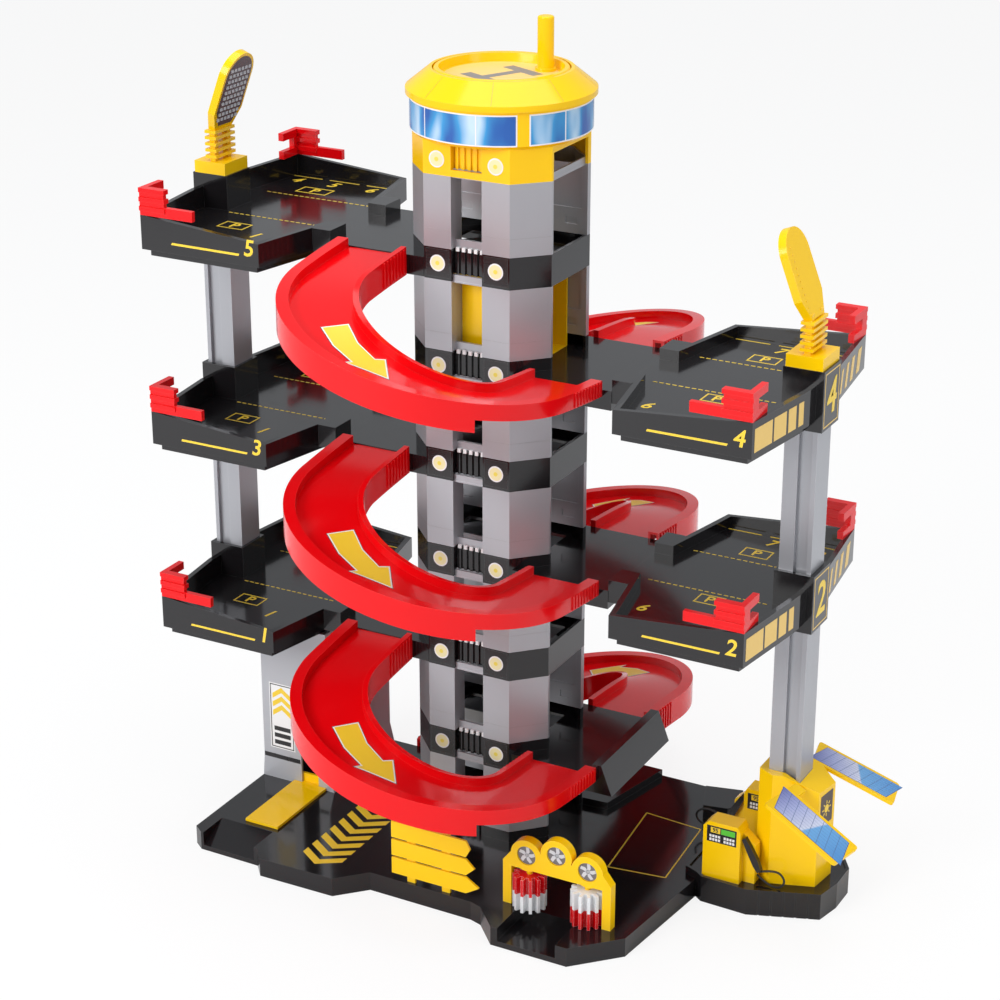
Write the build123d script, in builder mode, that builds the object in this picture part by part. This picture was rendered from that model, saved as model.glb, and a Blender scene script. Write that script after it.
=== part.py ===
"""Toy parking garage: an octagonal lift tower with five platforms and six U-shaped ramps.

Frame: millimetres, +Z up, origin on the floor under the tower's axis, X along the row of
platforms, Y to the back. Floor 0 lies one pitch over the deck, floor 5 is the top platform.
"""
import os
from math import atan2, cos, degrees, hypot, pi, radians, sin, tan

from build123d import *

os.makedirs("parts", exist_ok=True)

# ---------------------------------------------------------------- driving sizes
LEVEL_PITCH = 100.0
DECK_TOP = 20.0
FLOOR_COUNT = 6
WALL = 3.0
PLATE = 3.0
FIT_GAP = 0.3
RUN_GAP = 0.4

# tower
TOWER_X = 73.6
TOWER_Y = 68.7
FRONT_HALF = 45.2
SIDE_HALF = 39.5
BAND_UP = 12.0
BAND_DOWN = 19.0
SPIGOT = 6.0
SPIGOT_WALL = 2.0
LINTEL = 1.5
SLOT_HALF = 16.2
SLOT_DEEP = 8.0
SLOT_RIBS = 5
RIB_WIDE = 3.0
RIB_DEEP = 2.0
SILL = 8.0
WINDOW_SILL = 25.0
WINDOW_DEEP = 1.2
SOCKET_X = 56.5
SOCKET_WIDE = 13.0
SOCKET_TALL = 7.5
SOCKET_UP = 9.0

# lift cabin
CABIN_X = 54.0
CABIN_FRONT = 48.0
CABIN_BACK = 33.0
CABIN_TALL = 82.0
CABIN_WALL = 2.5
CABIN_LEVEL = 4
SHAFT_EDGE = 1.0

# head of the tower
COLLAR_TALL = 32.5
COLLAR_DOOR = 26.0
DRUM_R = 85.4
DRUM_TALL = 35.1
DRUM_PLATE = 2.5
STRING_HOLE_R = 6.0
ROOF_RIM_R = DRUM_R + 4.1
ROOF_RIM_TALL = 5.5
ROOF_SKIN = 3.0
ROOF_SLOPE_TALL = 17.7
ROOF_MOUTH_R = DRUM_R - 20.9
DISC_GAP = 1.0
DISC_UP = 5.0
DISC_TALL = 18.2
DISC_RIM = 6.5
DISC_RECESS = 8.0
SHAFT_R = 8.0
SHAFT_CLEARANCE = 0.05
SHAFT_LONG = 26.0
SPOOL_R = 12.5
SPOOL_FLANGE_R = 18.0
SPOOL_TALL = 10.0
SPOOL_FLANGE = 2.0
HANDLE_X = 28.0
HANDLE_Y = 34.0
HANDLE_R = 7.75
HANDLE_FOOT_R = 10.0
HANDLE_TALL = 51.0

# ramps
RAMP_R = 103.0
RAMP_WIDE = 75.0
RAMP_END_Y = 66.8
RAMP_STRAIGHT = 67.8
RAMP_RIM_OUT = 11.5
RAMP_RIM_IN = 5.5
RAMP_LIP = 8.5
RAMP_SKIRT = 18.7
RAMP_SKIRT_END = 6.8
RAMP_SKIN = 2.5
RAMP_STEP = 1.3
RAMP_EASE = -0.55
RAMP_ARC_SPANS = 16
RAMP_SHORT_FROM = 13

# landings and platforms
LANDING_X = 150.0
GUARD_X = 134.0
GUARD_OUT_X = 158.0
MOUTH_HALF = 37.0
BLOCK_OUT = 66.0
THROAT_X = 165.0
INNER_X = 184.7
OUTER_X = 318.6
BEND_X = 331.0
BEND_Y = 35.0
PLATFORM_Y = 137.2
PLATFORM_WALL = 5.0
PLATFORM_DROP = 12.0
PLATFORM_STEP = 7.0
STEP_INSET = 6.0
LIP_IN = 11.0
LIP_OUT = 22.0

# columns, sleeves, masts
COLUMN_X = 317.0
COLUMN_WIDE = 32.0
COLUMN_DEEP = 33.0
GROOVE_WIDE = 13.5
GROOVE_DEEP = 4.0
GROOVE_X = 5.0
SLEEVE_IN_X = 298.0
SLEEVE_OUT_X = 338.0
SLEEVE_HALF = 20.5
SLEEVE_UP = 35.0
SLEEVE_DOWN = 23.0
SOCKET_DEEP = 10.0
MAST_BASE = (36.0, 40.0, 12.0)
MAST_FINS = 5
MAST_FIN_PITCH = 6.2
MAST_FIN_TALL = 3.0
MAST_FIN_WIDE = 34.0
MAST_FIN_DEEP = 13.0
MAST_POST = 6.0
MAST_HEAD_WIDE = 48.0
MAST_HEAD_TALL = 84.0
MAST_HEAD_THICK = 8.0
MAST_NECK_WIDE = 28.0
MAST_NECK_TALL = 20.0
MAST_LEAN = 21.0

# bumpers
BUMPER_LONG = 60.0
BUMPER_SHORT = 32.0
BUMPER_THICK = 6.0
BUMPER_RISE = 27.0
BUMPER_RIDGES = 3
BUMPER_BAR = 10.0
BUMPER_BLOCK = 28.0
BUMPER_RIB = 1.4
BUMPER_RAIL = 8.0
BUMPER_POST = 12.0

# base
BASE_OUTLINE = [
    (-172.0, -199.0), (-159.0, -214.0), (-75.0, -213.0), (-48.0, -185.0), (66.0, -186.0),
    (79.0, -190.0), (104.0, -216.0), (185.0, -216.0), (226.0, -174.0), (240.0, -43.0),
    (226.0, -37.0), (226.0, 70.0), (235.0, 91.0), (222.0, 120.0), (175.0, 133.0),
    (-62.0, 133.0), (-62.0, 66.8), (-252.0, 66.8), (-252.0, -190.0), (-241.0, -198.0),
]
BASE_SKIN = 3.0
BENCH_OUTLINE = [(197.0, 70.0), (222.0, 75.0), (233.0, 91.0), (221.0, 118.0), (183.0, 109.0)]
BENCH_TALL = 15.0
STEP_OUTLINE = [(75.0, 37.0), (103.0, 39.0), (123.0, 131.0), (75.0, 131.0)]
STEP_TALL = 8.0
LANE_X0 = 111.0
LANE_X1 = 173.0
LANE_FLOOR = 6.0
LANE_FLAT_END = -150.0
LANE_RISE_END = -105.0
LANE_FRONT = -216.0
ENTRY_X0 = -238.0
ENTRY_X1 = -176.0
ENTRY_FRONT = -199.0
ENTRY_END = -164.0
ENTRY_LOW = 5.0

# pump island
ISLAND_OUTLINE = [
    (226.0, -37.0), (240.0, -43.0), (248.0, -49.0), (297.0, -51.0), (364.0, -26.0),
    (370.0, 2.0), (370.0, 34.0), (352.0, 62.0), (226.0, 70.0),
]
ISLAND_TOP = 26.0
ISLAND_LIP = 2.0
ISLAND_GROOVES = 6
ISLAND_GROOVE = 1.6

# service bay
SERVICE_X0 = -250.0
SERVICE_X1 = -170.0
SERVICE_Y0 = -65.0
SERVICE_Y1 = 60.0
SERVICE_FOOT = 25.0
SERVICE_FLARE = 6.0
SERVICE_FLARE_LEFT = 2.0
SERVICE_PLATE_X0 = -213.0
SERVICE_PLATE_X1 = -174.0
SERVICE_PLATE_Y0 = -158.0
SERVICE_PLATE_THICK = 3.0
SERVICE_GAP = 0.5
SERVICE_TAB_WIDE = 20.0
SERVICE_SLOT_TOP = 150.0

# car wash
WASH_Y0 = -170.0
WASH_Y1 = -160.0
WASH_X0 = 93.0
WASH_X1 = 208.0
WASH_LEG = 9.0
WASH_TOP = 92.0
WASH_FANS = [(118.0, 77.0), (150.0, 85.0), (183.0, 77.0)]
FAN_HOUSING_R = 16.5
FAN_RECESS_R = 10.0
FAN_RECESS = 2.0
ROLLER_R = 16.5
ROLLER_TALL = 36.0
ROLLER_X = [119.5, 181.5]
ROLLER_LOW = 20.5
ROLLER_TEETH = 12
ROLLER_PIN_R = 3.0
ROLLER_PIN_DEEP = 12.0
WASH_BEAM = 62.0
WASH_SHOULDER = (10.0, 12.0, 25.0)

# pumps
PUMP_FACE = 39.0
PUMP_WIDE = 52.0
PUMP_DEEP = 20.0
PUMP_TALL = 62.0
PUMP_CHEEK = 42.0
PUMP_SHOULDER = 53.0
PUMP_RECESS = 8.0
PUMP_BEVEL = 6.0
PUMP_CORNER = 3.0
PUMP_1 = (246.0, -43.0)
PUMP_2 = (295.0, 34.0)
NOZZLE_THICK = 5.0
NOZZLE_PROFILE = [(0.5, 48.0), (6.0, 36.0), (13.0, 22.0), (17.5, 16.0), (21.5, 18.5),
                  (17.0, 30.0), (10.0, 42.0), (4.0, 51.0)]
HOSE_R = 1.1
HOSE_1 = [(304.5, -37.5, 43.0), (314.0, -37.0, 46.5), (325.0, -36.0, 46.5), (331.0, -36.0, 37.5),
          (324.0, -36.0, 28.4), (309.0, -32.0, 28.4), (298.0, -28.0, 33.0)]
HOSE_2 = [(236.5, 39.5, 43.0), (223.0, 40.0, 50.0), (209.0, 40.0, 50.0), (201.0, 40.0, 41.0),
          (207.0, 41.0, 31.0), (222.0, 44.0, 30.5), (243.0, 48.0, 34.0)]

# solar house
HOUSE_OUTLINE = [(309.0, -27.0), (352.0, -12.0), (356.0, 20.0), (340.0, 30.0), (292.0, 30.0), (292.0, -18.0)]
HOUSE_TOP = 145.0
HOUSE_LOW = 127.0
HOUSE_BREAK_X = 318.0
HOUSE_SKIN = 3.0
PANEL_CORNER = (320.0, -31.0, 140.0)
PANEL_TURN = -12.0
PANEL_TILT = 23.8
PANEL_ROLL = 9.6
PANEL_LONG = 88.0
PANEL_WIDE = 40.2
PANEL_THICK = 3.5
PANEL_TONGUE = 13.0
PANEL_TONGUE_WIDE = 12.0

# sign
SIGN_Y = -182.0
SIGN_THICK = 5.0
SIGN_LEGS = [-7.0, 32.0]
SIGN_LEG = 9.0
SIGN_BOARDS = 3
SIGN_BOARD_TALL = 17.5
SIGN_PITCH = 20.0
SIGN_LOW = 27.0
SIGN_X0 = -23.0
SIGN_X1 = 60.0
SIGN_TIP = 14.0


# ---------------------------------------------------------------- shared values and helpers
STOREY_TALL = LEVEL_PITCH - BAND_UP - BAND_DOWN
SHAFT_BACK = CABIN_BACK + RUN_GAP
FIN_BACK = CABIN_FRONT + RUN_GAP
TOP_FLOOR = DECK_TOP + FLOOR_COUNT * LEVEL_PITCH
COLLAR_Z = TOP_FLOOR + BAND_UP + STOREY_TALL
DRUM_Z = COLLAR_Z + COLLAR_TALL
ROOF_Z = DRUM_Z + DRUM_TALL


def floor_z(level):
    """Height of a landing floor; floor -1 is the deck."""
    return DECK_TOP + (level + 1) * LEVEL_PITCH


def side_of(level):
    """Even floors have their platform on the right, odd ones on the left."""
    return 1 if level % 2 == 0 else -1


def octagon(inset=0.0):
    """Tower outline, moved inwards by a wall's thickness."""
    run = TOWER_X - FRONT_HALF
    rise = TOWER_Y - SIDE_HALF
    slant = hypot(run, rise)
    fx = FRONT_HALF - inset * (1 - run / slant) / (rise / slant)
    sy = SIDE_HALF - inset * (1 - rise / slant) / (run / slant)
    x = TOWER_X - inset
    y = TOWER_Y - inset
    return [(fx, -y), (x, -sy), (x, sy), (fx, y), (-fx, y), (-x, sy), (-x, -sy), (-fx, -y)]


def handed(points, side):
    """Outline mirrored to the left side where needed, still counter-clockwise."""
    return [(side * x, y) for x, y in points][::side]


def block(x0, x1, y0, y1, z0, z1, mode=Mode.ADD):
    """Rectangular block between six faces."""
    with Locations(((x0 + x1) / 2, (y0 + y1) / 2, (z0 + z1) / 2)):
        Box(abs(x1 - x0), abs(y1 - y0), abs(z1 - z0), mode=mode)


def prism(points, z0, z1, mode=Mode.ADD):
    """Upright prism over an outline."""
    with BuildSketch(Plane.XY.offset(z0)) as outline:
        Polygon(*points, align=None)
    extrude(outline.sketch, amount=z1 - z0, mode=mode)


def prism_xz(points, y0, y1, mode=Mode.ADD):
    """Prism over a profile in X and Z, from y0 back to y1."""
    with BuildSketch(Plane((0, y1, 0), x_dir=(1, 0, 0), z_dir=(0, -1, 0))) as profile:
        Polygon(*points, align=None)
    extrude(profile.sketch, amount=y1 - y0, mode=mode)


def prism_yz(points, x0, x1, mode=Mode.ADD):
    """Prism over a profile in Y and Z, from x0 to x1."""
    with BuildSketch(Plane.YZ.offset(x0)) as profile:
        Polygon(*points, align=None)
    extrude(profile.sketch, amount=x1 - x0, mode=mode)


def disc(x, y, radius, z0, z1, mode=Mode.ADD):
    """Upright round boss or hole."""
    with Locations((x, y, (z0 + z1) / 2)):
        Cylinder(radius, z1 - z0, mode=mode)


def finish(builder, name):
    """Label a piece and write it."""
    builder.part.label = name
    export_step(builder.part, f"parts/{name}.step")


# ---------------------------------------------------------------- tower
def slot_panel(z0, z1, ribs):
    """Recessed front panel between the two front columns, plain or ribbed."""
    face = -TOWER_Y + SLOT_DEEP
    block(-SLOT_HALF, SLOT_HALF, -TOWER_Y - WALL, face, z0, z1, mode=Mode.SUBTRACT)
    block(-SLOT_HALF - WALL, SLOT_HALF + WALL, face, face + WALL, z0, z1)
    slot_cheeks(z0, z1, TOWER_Y - SLOT_DEEP - WALL)
    for i in range(ribs):
        x = (i - (ribs - 1) / 2) * 2 * SLOT_HALF / ribs
        block(x - RIB_WIDE / 2, x + RIB_WIDE / 2, face - RIB_DEEP, face, z0, z1)


def slot_cheeks(z0, z1, back):
    """Two walls beside the front slot, from the front face in to the lift."""
    for s in (-1, 1):
        block(s * SLOT_HALF, s * (SLOT_HALF + WALL), -TOWER_Y, -back, z0, z1)


def storey(index):
    """Silver storey: two front columns, a closed rear tube and the spigot that ties them."""
    z0 = DECK_TOP + BAND_UP + index * LEVEL_PITCH
    z1 = z0 + STOREY_TALL
    with BuildPart() as tube:
        prism(octagon(), z0, z1)
        prism(octagon(WALL), z0, z1, mode=Mode.SUBTRACT)
        door = TOWER_X + WALL
        block(-door, door, -SIDE_HALF + WALL, SHAFT_BACK, z0, z1, mode=Mode.SUBTRACT)
        reach = TOWER_X - WALL
        block(-reach, reach, SHAFT_BACK, SHAFT_BACK + WALL, z0, z1)
        block(-SLOT_HALF, SLOT_HALF, -TOWER_Y - WALL, -TOWER_Y + WALL, z0, z1, mode=Mode.SUBTRACT)
        slot_cheeks(z0, z1, FIN_BACK)
        face = -TOWER_Y + SLOT_DEEP
        block(-SLOT_HALF, SLOT_HALF, face, face + WALL, z0, z0 + SILL)
        for s in (-1, 1):
            edge = s * (TOWER_X - 2 * WALL)
            block(s * WALL, edge, SHAFT_BACK, SHAFT_BACK + WINDOW_DEEP, z0 + WINDOW_SILL, z1 - LINTEL,
                  mode=Mode.SUBTRACT)
            block(s * (SOCKET_X - SOCKET_WIDE / 2), s * (SOCKET_X + SOCKET_WIDE / 2),
                  SHAFT_BACK, SHAFT_BACK + WINDOW_DEEP, z0 + SOCKET_UP, z0 + SOCKET_UP + SOCKET_TALL,
                  mode=Mode.SUBTRACT)
        prism(octagon(WALL), z1 - LINTEL, z1)
        prism(octagon(WALL + FIT_GAP), z1, z1 + SPIGOT)
        prism(octagon(WALL + FIT_GAP + SPIGOT_WALL), z1 - LINTEL, z1 + SPIGOT, mode=Mode.SUBTRACT)
    finish(tube, f"storey_{index}")


def shaft_hole(z0, z1):
    """Hole for the lift cabin with its edge clearance."""
    x = CABIN_X + SHAFT_EDGE
    block(-x, x, -CABIN_FRONT - SHAFT_EDGE, CABIN_BACK + SHAFT_EDGE, z0, z1, mode=Mode.SUBTRACT)


def landing_outline(side, inset=0.0):
    """Floor beside the tower, from the tower's chamfers out to the platform's mouth."""
    inner = FRONT_HALF + (TOWER_Y - RAMP_END_Y) * (TOWER_X - FRONT_HALF) / (TOWER_Y - SIDE_HALF)
    x = (LANDING_X if side else GUARD_X) - inset
    y = RAMP_END_Y - inset
    return [(inner, -y), (x, -y), (x, y), (inner, y), (0.0, 0.0)]


def landing_floor(level):
    """Black band of the tower with its landing."""
    z = floor_z(level)
    low = z - BAND_DOWN
    side = side_of(level)
    with BuildPart() as band:
        prism(octagon(), low, z + BAND_UP)
        prism(octagon(WALL), low, z + BAND_UP, mode=Mode.SUBTRACT)
        prism(handed(landing_outline(level), side), low, z)
        prism(octagon(WALL), low, z - PLATE, mode=Mode.SUBTRACT)
        prism(handed(landing_outline(level, WALL), side), low, z - PLATE, mode=Mode.SUBTRACT)
        prism(octagon(WALL), z - PLATE, z)
        door = side * (TOWER_X + WALL)
        block(side * (TOWER_X - 2 * WALL), door, -SIDE_HALF + WALL, SHAFT_BACK, z, z + BAND_UP,
              mode=Mode.SUBTRACT)
        slot_panel(low, z + BAND_UP, SLOT_RIBS)
        shaft_hole(low, z + BAND_UP)
        prism(octagon(WALL), low, low + SPIGOT + FIT_GAP, mode=Mode.SUBTRACT)
        if level == 0:
            ridge = [(GUARD_X, z), (GUARD_X + WALL, z + BAND_UP), (GUARD_X + 4 * WALL, z + BAND_UP),
                     (GUARD_OUT_X, low), (GUARD_X - WALL, low)]
            prism_xz(ridge, -RAMP_END_Y, RAMP_END_Y)
            core = [(GUARD_X, z - PLATE), (GUARD_X + 2 * WALL, z + BAND_UP - PLATE),
                    (GUARD_X + 3 * WALL, z + BAND_UP - PLATE), (GUARD_OUT_X - WALL, low), (GUARD_X, low)]
            prism_xz(core, -RAMP_END_Y + WALL, RAMP_END_Y - WALL, mode=Mode.SUBTRACT)
    finish(band, f"floor_{level}")


def collar_and_head():
    """Yellow collar, window ring and conical roof."""
    with BuildPart() as collar:
        prism(octagon(), COLLAR_Z, DRUM_Z)
        prism(octagon(WALL), COLLAR_Z, DRUM_Z, mode=Mode.SUBTRACT)
        door = TOWER_X + WALL
        block(-door, door, -SIDE_HALF + WALL, SHAFT_BACK, COLLAR_Z, COLLAR_Z + COLLAR_DOOR,
              mode=Mode.SUBTRACT)
        slot_panel(COLLAR_Z + SPIGOT + FIT_GAP, DRUM_Z, SLOT_RIBS)
    finish(collar, "collar")
    with BuildPart() as ring:
        with BuildSketch(Plane.XZ) as section:
            with BuildLine():
                Polyline((STRING_HOLE_R, DRUM_Z), (DRUM_R - WALL, DRUM_Z), (DRUM_R, DRUM_Z + WALL),
                         (DRUM_R, ROOF_Z), (DRUM_R - WALL, ROOF_Z), (DRUM_R - WALL, DRUM_Z + DRUM_PLATE),
                         (STRING_HOLE_R, DRUM_Z + DRUM_PLATE), close=True)
            make_face()
        revolve(section.sketch, axis=Axis.Z)
    finish(ring, "window_ring")
    with BuildPart() as roof:
        bore = SHAFT_R + SHAFT_CLEARANCE
        rim_top = ROOF_Z + ROOF_RIM_TALL
        mouth_top = rim_top + ROOF_SLOPE_TALL
        well = ROOF_Z + DISC_UP
        with BuildSketch(Plane.XZ) as section:
            with BuildLine():
                Polyline((bore, ROOF_Z - 2 * WALL), (bore, well), (ROOF_MOUTH_R, well),
                         (ROOF_MOUTH_R, mouth_top), (ROOF_MOUTH_R + WALL, mouth_top), (ROOF_RIM_R, rim_top),
                         (ROOF_RIM_R, ROOF_Z), (ROOF_RIM_R - 2 * WALL, ROOF_Z),
                         (ROOF_RIM_R - 2 * WALL, rim_top - ROOF_SKIN),
                         (ROOF_MOUTH_R + WALL, mouth_top - 2 * ROOF_SKIN),
                         (ROOF_MOUTH_R + WALL, well - ROOF_SKIN), (SPOOL_R, well - ROOF_SKIN),
                         (SPOOL_R, ROOF_Z - 2 * WALL), close=True)
            make_face()
        revolve(section.sketch, axis=Axis.Z)
    finish(roof, "roof")


def winding_gear():
    """Turning disc in the roof, its shaft, the spool under it and the crank handle."""
    low = ROOF_Z + DISC_UP + FIT_GAP
    top = low + DISC_TALL
    pad = top - DISC_RECESS
    edge = ROOF_MOUTH_R - DISC_GAP
    shaft_end = ROOF_Z + DISC_UP - SHAFT_LONG
    foot = shaft_end - SPOOL_TALL
    with BuildPart() as helipad:
        with BuildSketch(Plane.XZ) as section:
            with BuildLine():
                Polyline((0, shaft_end), (SHAFT_R, shaft_end), (SHAFT_R, low), (edge, low),
                         (edge, top - WALL / 2), (edge - WALL / 2, top), (edge - DISC_RIM + WALL / 2, top),
                         (edge - DISC_RIM, pad), (0, pad), close=True)
            make_face()
        revolve(section.sketch, axis=Axis.Z)
    finish(helipad, "helipad")
    with BuildPart() as spool:
        with BuildSketch(Plane.XZ) as section:
            with BuildLine():
                Polyline((0, shaft_end), (0, foot), (SPOOL_FLANGE_R, foot),
                         (SPOOL_FLANGE_R, foot + SPOOL_FLANGE),
                         (SPOOL_R, foot + SPOOL_FLANGE), (SPOOL_R, shaft_end - SPOOL_FLANGE),
                         (SPOOL_FLANGE_R, shaft_end - SPOOL_FLANGE), (SPOOL_FLANGE_R, shaft_end), close=True)
            make_face()
        revolve(section.sketch, axis=Axis.Z)
    finish(spool, "winch_spool")
    with BuildPart() as handle:
        disc(HANDLE_X, HANDLE_Y, HANDLE_FOOT_R, pad, pad + WALL)
        disc(HANDLE_X, HANDLE_Y, HANDLE_R, pad, pad + HANDLE_TALL)
        fillet(handle.edges().filter_by(GeomType.CIRCLE).group_by(Axis.Z)[-1], HANDLE_R / 4)
    finish(handle, "crank_handle")


def lift_cabin():
    """Yellow cabin, open to both sides, parked at its floor."""
    z = floor_z(CABIN_LEVEL)
    top = z + CABIN_TALL
    with BuildPart() as cabin:
        block(-CABIN_X, CABIN_X, -CABIN_FRONT, CABIN_BACK, z - CABIN_WALL, top)
        block(-CABIN_X, CABIN_X, -CABIN_FRONT + CABIN_WALL, CABIN_BACK - CABIN_WALL, z, top - CABIN_WALL,
              mode=Mode.SUBTRACT)
        block(-WALL, WALL, -WALL, WALL, top, top + 2 * WALL)
    finish(cabin, "lift_cabin")


# ---------------------------------------------------------------- ramps
def ramp_path():
    """Stations along a ramp: centre, direction across it, share of its length."""
    arc = pi * RAMP_R
    total = 2 * RAMP_STRAIGHT + arc
    stations = []
    bend_y = -RAMP_END_Y - RAMP_STRAIGHT
    stations.append(((-RAMP_R, -RAMP_END_Y), pi, 0.0))
    for i in range(RAMP_ARC_SPANS + 1):
        turn = pi * i / RAMP_ARC_SPANS
        angle = pi + turn
        centre = (RAMP_R * cos(angle), bend_y + RAMP_R * sin(angle))
        stations.append((centre, angle, (RAMP_STRAIGHT + arc * i / RAMP_ARC_SPANS) / total))
    stations.append(((RAMP_R, -RAMP_END_Y), 2 * pi, 1.0))
    return stations


def ramp_drop(share):
    """Height lost at a share of the ramp's length: gentle at both ends."""
    fall = LEVEL_PITCH - RAMP_STEP - FIT_GAP
    return RAMP_STEP + fall * (share + RAMP_EASE * sin(2 * pi * share) / (2 * pi))


def ramp_section(station, top, skirt):
    """Channel section across the ramp, with hollow walls and open underside."""
    (x, y), angle, share = station
    z = top - ramp_drop(share)
    half = RAMP_WIDE / 2
    low = -skirt
    rim_out = half - RAMP_RIM_OUT
    rim_in = -half + RAMP_RIM_IN
    points = [
        (-half, low), (-half, RAMP_LIP), (rim_in, RAMP_LIP), (rim_in, 0), (rim_out, 0),
        (rim_out, RAMP_LIP), (half, RAMP_LIP), (half, low), (half - RAMP_SKIN, low),
        (half - RAMP_SKIN, RAMP_LIP - RAMP_SKIN), (rim_out + RAMP_SKIN, RAMP_LIP - RAMP_SKIN),
        (rim_out + RAMP_SKIN, -RAMP_SKIN), (-half + RAMP_SKIN, -RAMP_SKIN), (-half + RAMP_SKIN, low),
    ]
    across = (cos(angle), sin(angle))
    return Polyline(*[(x + across[0] * u, y + across[1] * u, z + v) for u, v in points], close=True)


def ramp_span(stations, top, skirt):
    """Straight-ruled length of ramp through its stations."""
    faces = [Face(Wire(ramp_section(station, top, skirt).edges())) for station in stations]
    return Solid(loft([*faces], ruled=True, mode=Mode.PRIVATE).wrapped)


def ramp(name, start_level, rear):
    """U-shaped ramp; the rear ones are the front ones turned half round."""
    top = floor_z(start_level)
    stations = ramp_path()
    deep = ramp_span(stations[:RAMP_SHORT_FROM + 1], top, RAMP_SKIRT)
    shallow = ramp_span(stations[RAMP_SHORT_FROM:], top, RAMP_SKIRT_END)
    turn = Rot(0, 0, 180) if rear else Rot(0, 0, 0)
    with BuildPart() as channel:
        add(turn * deep)
        add(turn * shallow)
    finish(channel, name)


# ---------------------------------------------------------------- platforms
def platform_outline(inset=0.0):
    """Right-hand platform outline, moved inwards by an inset."""
    return [
        (THROAT_X + inset, -MOUTH_HALF), (INNER_X + inset, -PLATFORM_Y + inset),
        (OUTER_X - inset, -PLATFORM_Y + inset), (BEND_X - inset, -BEND_Y), (BEND_X - inset, BEND_Y),
        (OUTER_X - inset, PLATFORM_Y - inset), (INNER_X + inset, PLATFORM_Y - inset),
        (THROAT_X + inset, MOUTH_HALF),
    ]


def throat_outline():
    """Bridge from the landing to the platform with its two guard blocks."""
    return [(LANDING_X, -BLOCK_OUT), (THROAT_X + PLATFORM_WALL, -BLOCK_OUT),
            (THROAT_X + PLATFORM_WALL, BLOCK_OUT), (LANDING_X, BLOCK_OUT)]


def lip_cutter(side, z):
    """Wedge that leaves the walls rising from the inner to the outer corners."""
    high = z + LIP_OUT + WALL
    profile = [(0.0, z + LIP_IN), (INNER_X, z + LIP_IN), (OUTER_X, z + LIP_OUT),
               (OUTER_X + LANDING_X, z + LIP_OUT), (OUTER_X + LANDING_X, high), (0.0, high)]
    prism_xz(handed(profile, side), -PLATFORM_Y - WALL, PLATFORM_Y + WALL, mode=Mode.SUBTRACT)


def sleeve_socket(side, z, low, high):
    """Socket for a column's end in the sleeve."""
    half_x = COLUMN_WIDE / 2 + FIT_GAP
    half_y = COLUMN_DEEP / 2 + FIT_GAP
    x = side * COLUMN_X
    block(x - half_x, x + half_x, -half_y, half_y, z + low, z + high, mode=Mode.SUBTRACT)


def platform(level):
    """Parking platform: tray with rising lip, throat, column sleeve."""
    z = floor_z(level)
    side = side_of(level)
    with BuildPart() as tray:
        prism(handed(platform_outline(), side), z - PLATFORM_DROP, z + LIP_OUT)
        prism(handed(throat_outline(), side), z - PLATFORM_DROP, z + LIP_OUT)
        lip_cutter(side, z)
        prism(handed(platform_outline(PLATFORM_WALL), side), z, z + LIP_OUT, mode=Mode.SUBTRACT)
        x0 = side * (LANDING_X - WALL)
        x1 = side * (THROAT_X + 4 * WALL)
        block(x0, x1, -MOUTH_HALF, MOUTH_HALF, z, z + LIP_OUT, mode=Mode.SUBTRACT)
        prism(handed(platform_outline(PLATFORM_WALL), side), z - PLATFORM_DROP, z - PLATE,
              mode=Mode.SUBTRACT)
        step = handed(platform_outline(STEP_INSET), side)
        prism(step, z - PLATFORM_DROP - PLATFORM_STEP, z - PLATE)
        hollow = handed(platform_outline(STEP_INSET + WALL), side)
        prism(hollow, z - PLATFORM_DROP - PLATFORM_STEP, z - PLATE, mode=Mode.SUBTRACT)
        block(side * SLEEVE_IN_X, side * SLEEVE_OUT_X, -SLEEVE_HALF, SLEEVE_HALF, z - SLEEVE_DOWN,
              z + SLEEVE_UP)
        if level > 1:
            sleeve_socket(side, z, -SLEEVE_DOWN, -SLEEVE_DOWN + SOCKET_DEEP)
        if level < FLOOR_COUNT - 2:
            sleeve_socket(side, z, SLEEVE_UP - SOCKET_DEEP, SLEEVE_UP)
    finish(tray, f"platform_{level}")


def column(name, side, z0, z1):
    """Silver column with a groove down both faces."""
    with BuildPart() as post:
        x = side * COLUMN_X
        block(x - COLUMN_WIDE / 2, x + COLUMN_WIDE / 2, -COLUMN_DEEP / 2, COLUMN_DEEP / 2, z0, z1)
        g = x + side * GROOVE_X
        for s in (-1, 1):
            block(g - GROOVE_WIDE / 2, g + GROOVE_WIDE / 2, s * (COLUMN_DEEP / 2 - GROOVE_DEEP),
                  s * (COLUMN_DEEP / 2 + GROOVE_DEEP), z0, z1, mode=Mode.SUBTRACT)
    finish(post, name)


def bumpers(level):
    """Red corner bumpers that stand on the platform's two outer corners."""
    z = floor_z(level) + LIP_OUT
    side = side_of(level)
    with BuildPart() as pair:
        for s in (-1, 1):
            y = s * PLATFORM_Y
            x = side * OUTER_X
            block(x, x - side * BUMPER_LONG, y, y - s * PLATFORM_WALL, z, z + BUMPER_BAR)
            block(x, x - side * BUMPER_BLOCK, y, y - s * PLATFORM_WALL, z, z + BUMPER_RISE)
            for i in range(BUMPER_RIDGES):
                up = z + (i + 1) * BUMPER_RISE / BUMPER_RIDGES
                block(x, x - side * (BUMPER_BLOCK + BUMPER_RIB), y + s * BUMPER_RIB,
                      y - s * (PLATFORM_WALL + BUMPER_RIB), up - BUMPER_RISE / 6, up)
            block(x, x - side * BUMPER_THICK, y, y - s * BUMPER_POST, z, z + BUMPER_RISE)
            for low in (z, z + BUMPER_RISE - BUMPER_RAIL):
                block(x, x - side * BUMPER_THICK, y, y - s * BUMPER_SHORT, low, low + BUMPER_RAIL)
    finish(pair, f"bumpers_{level}")


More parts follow.
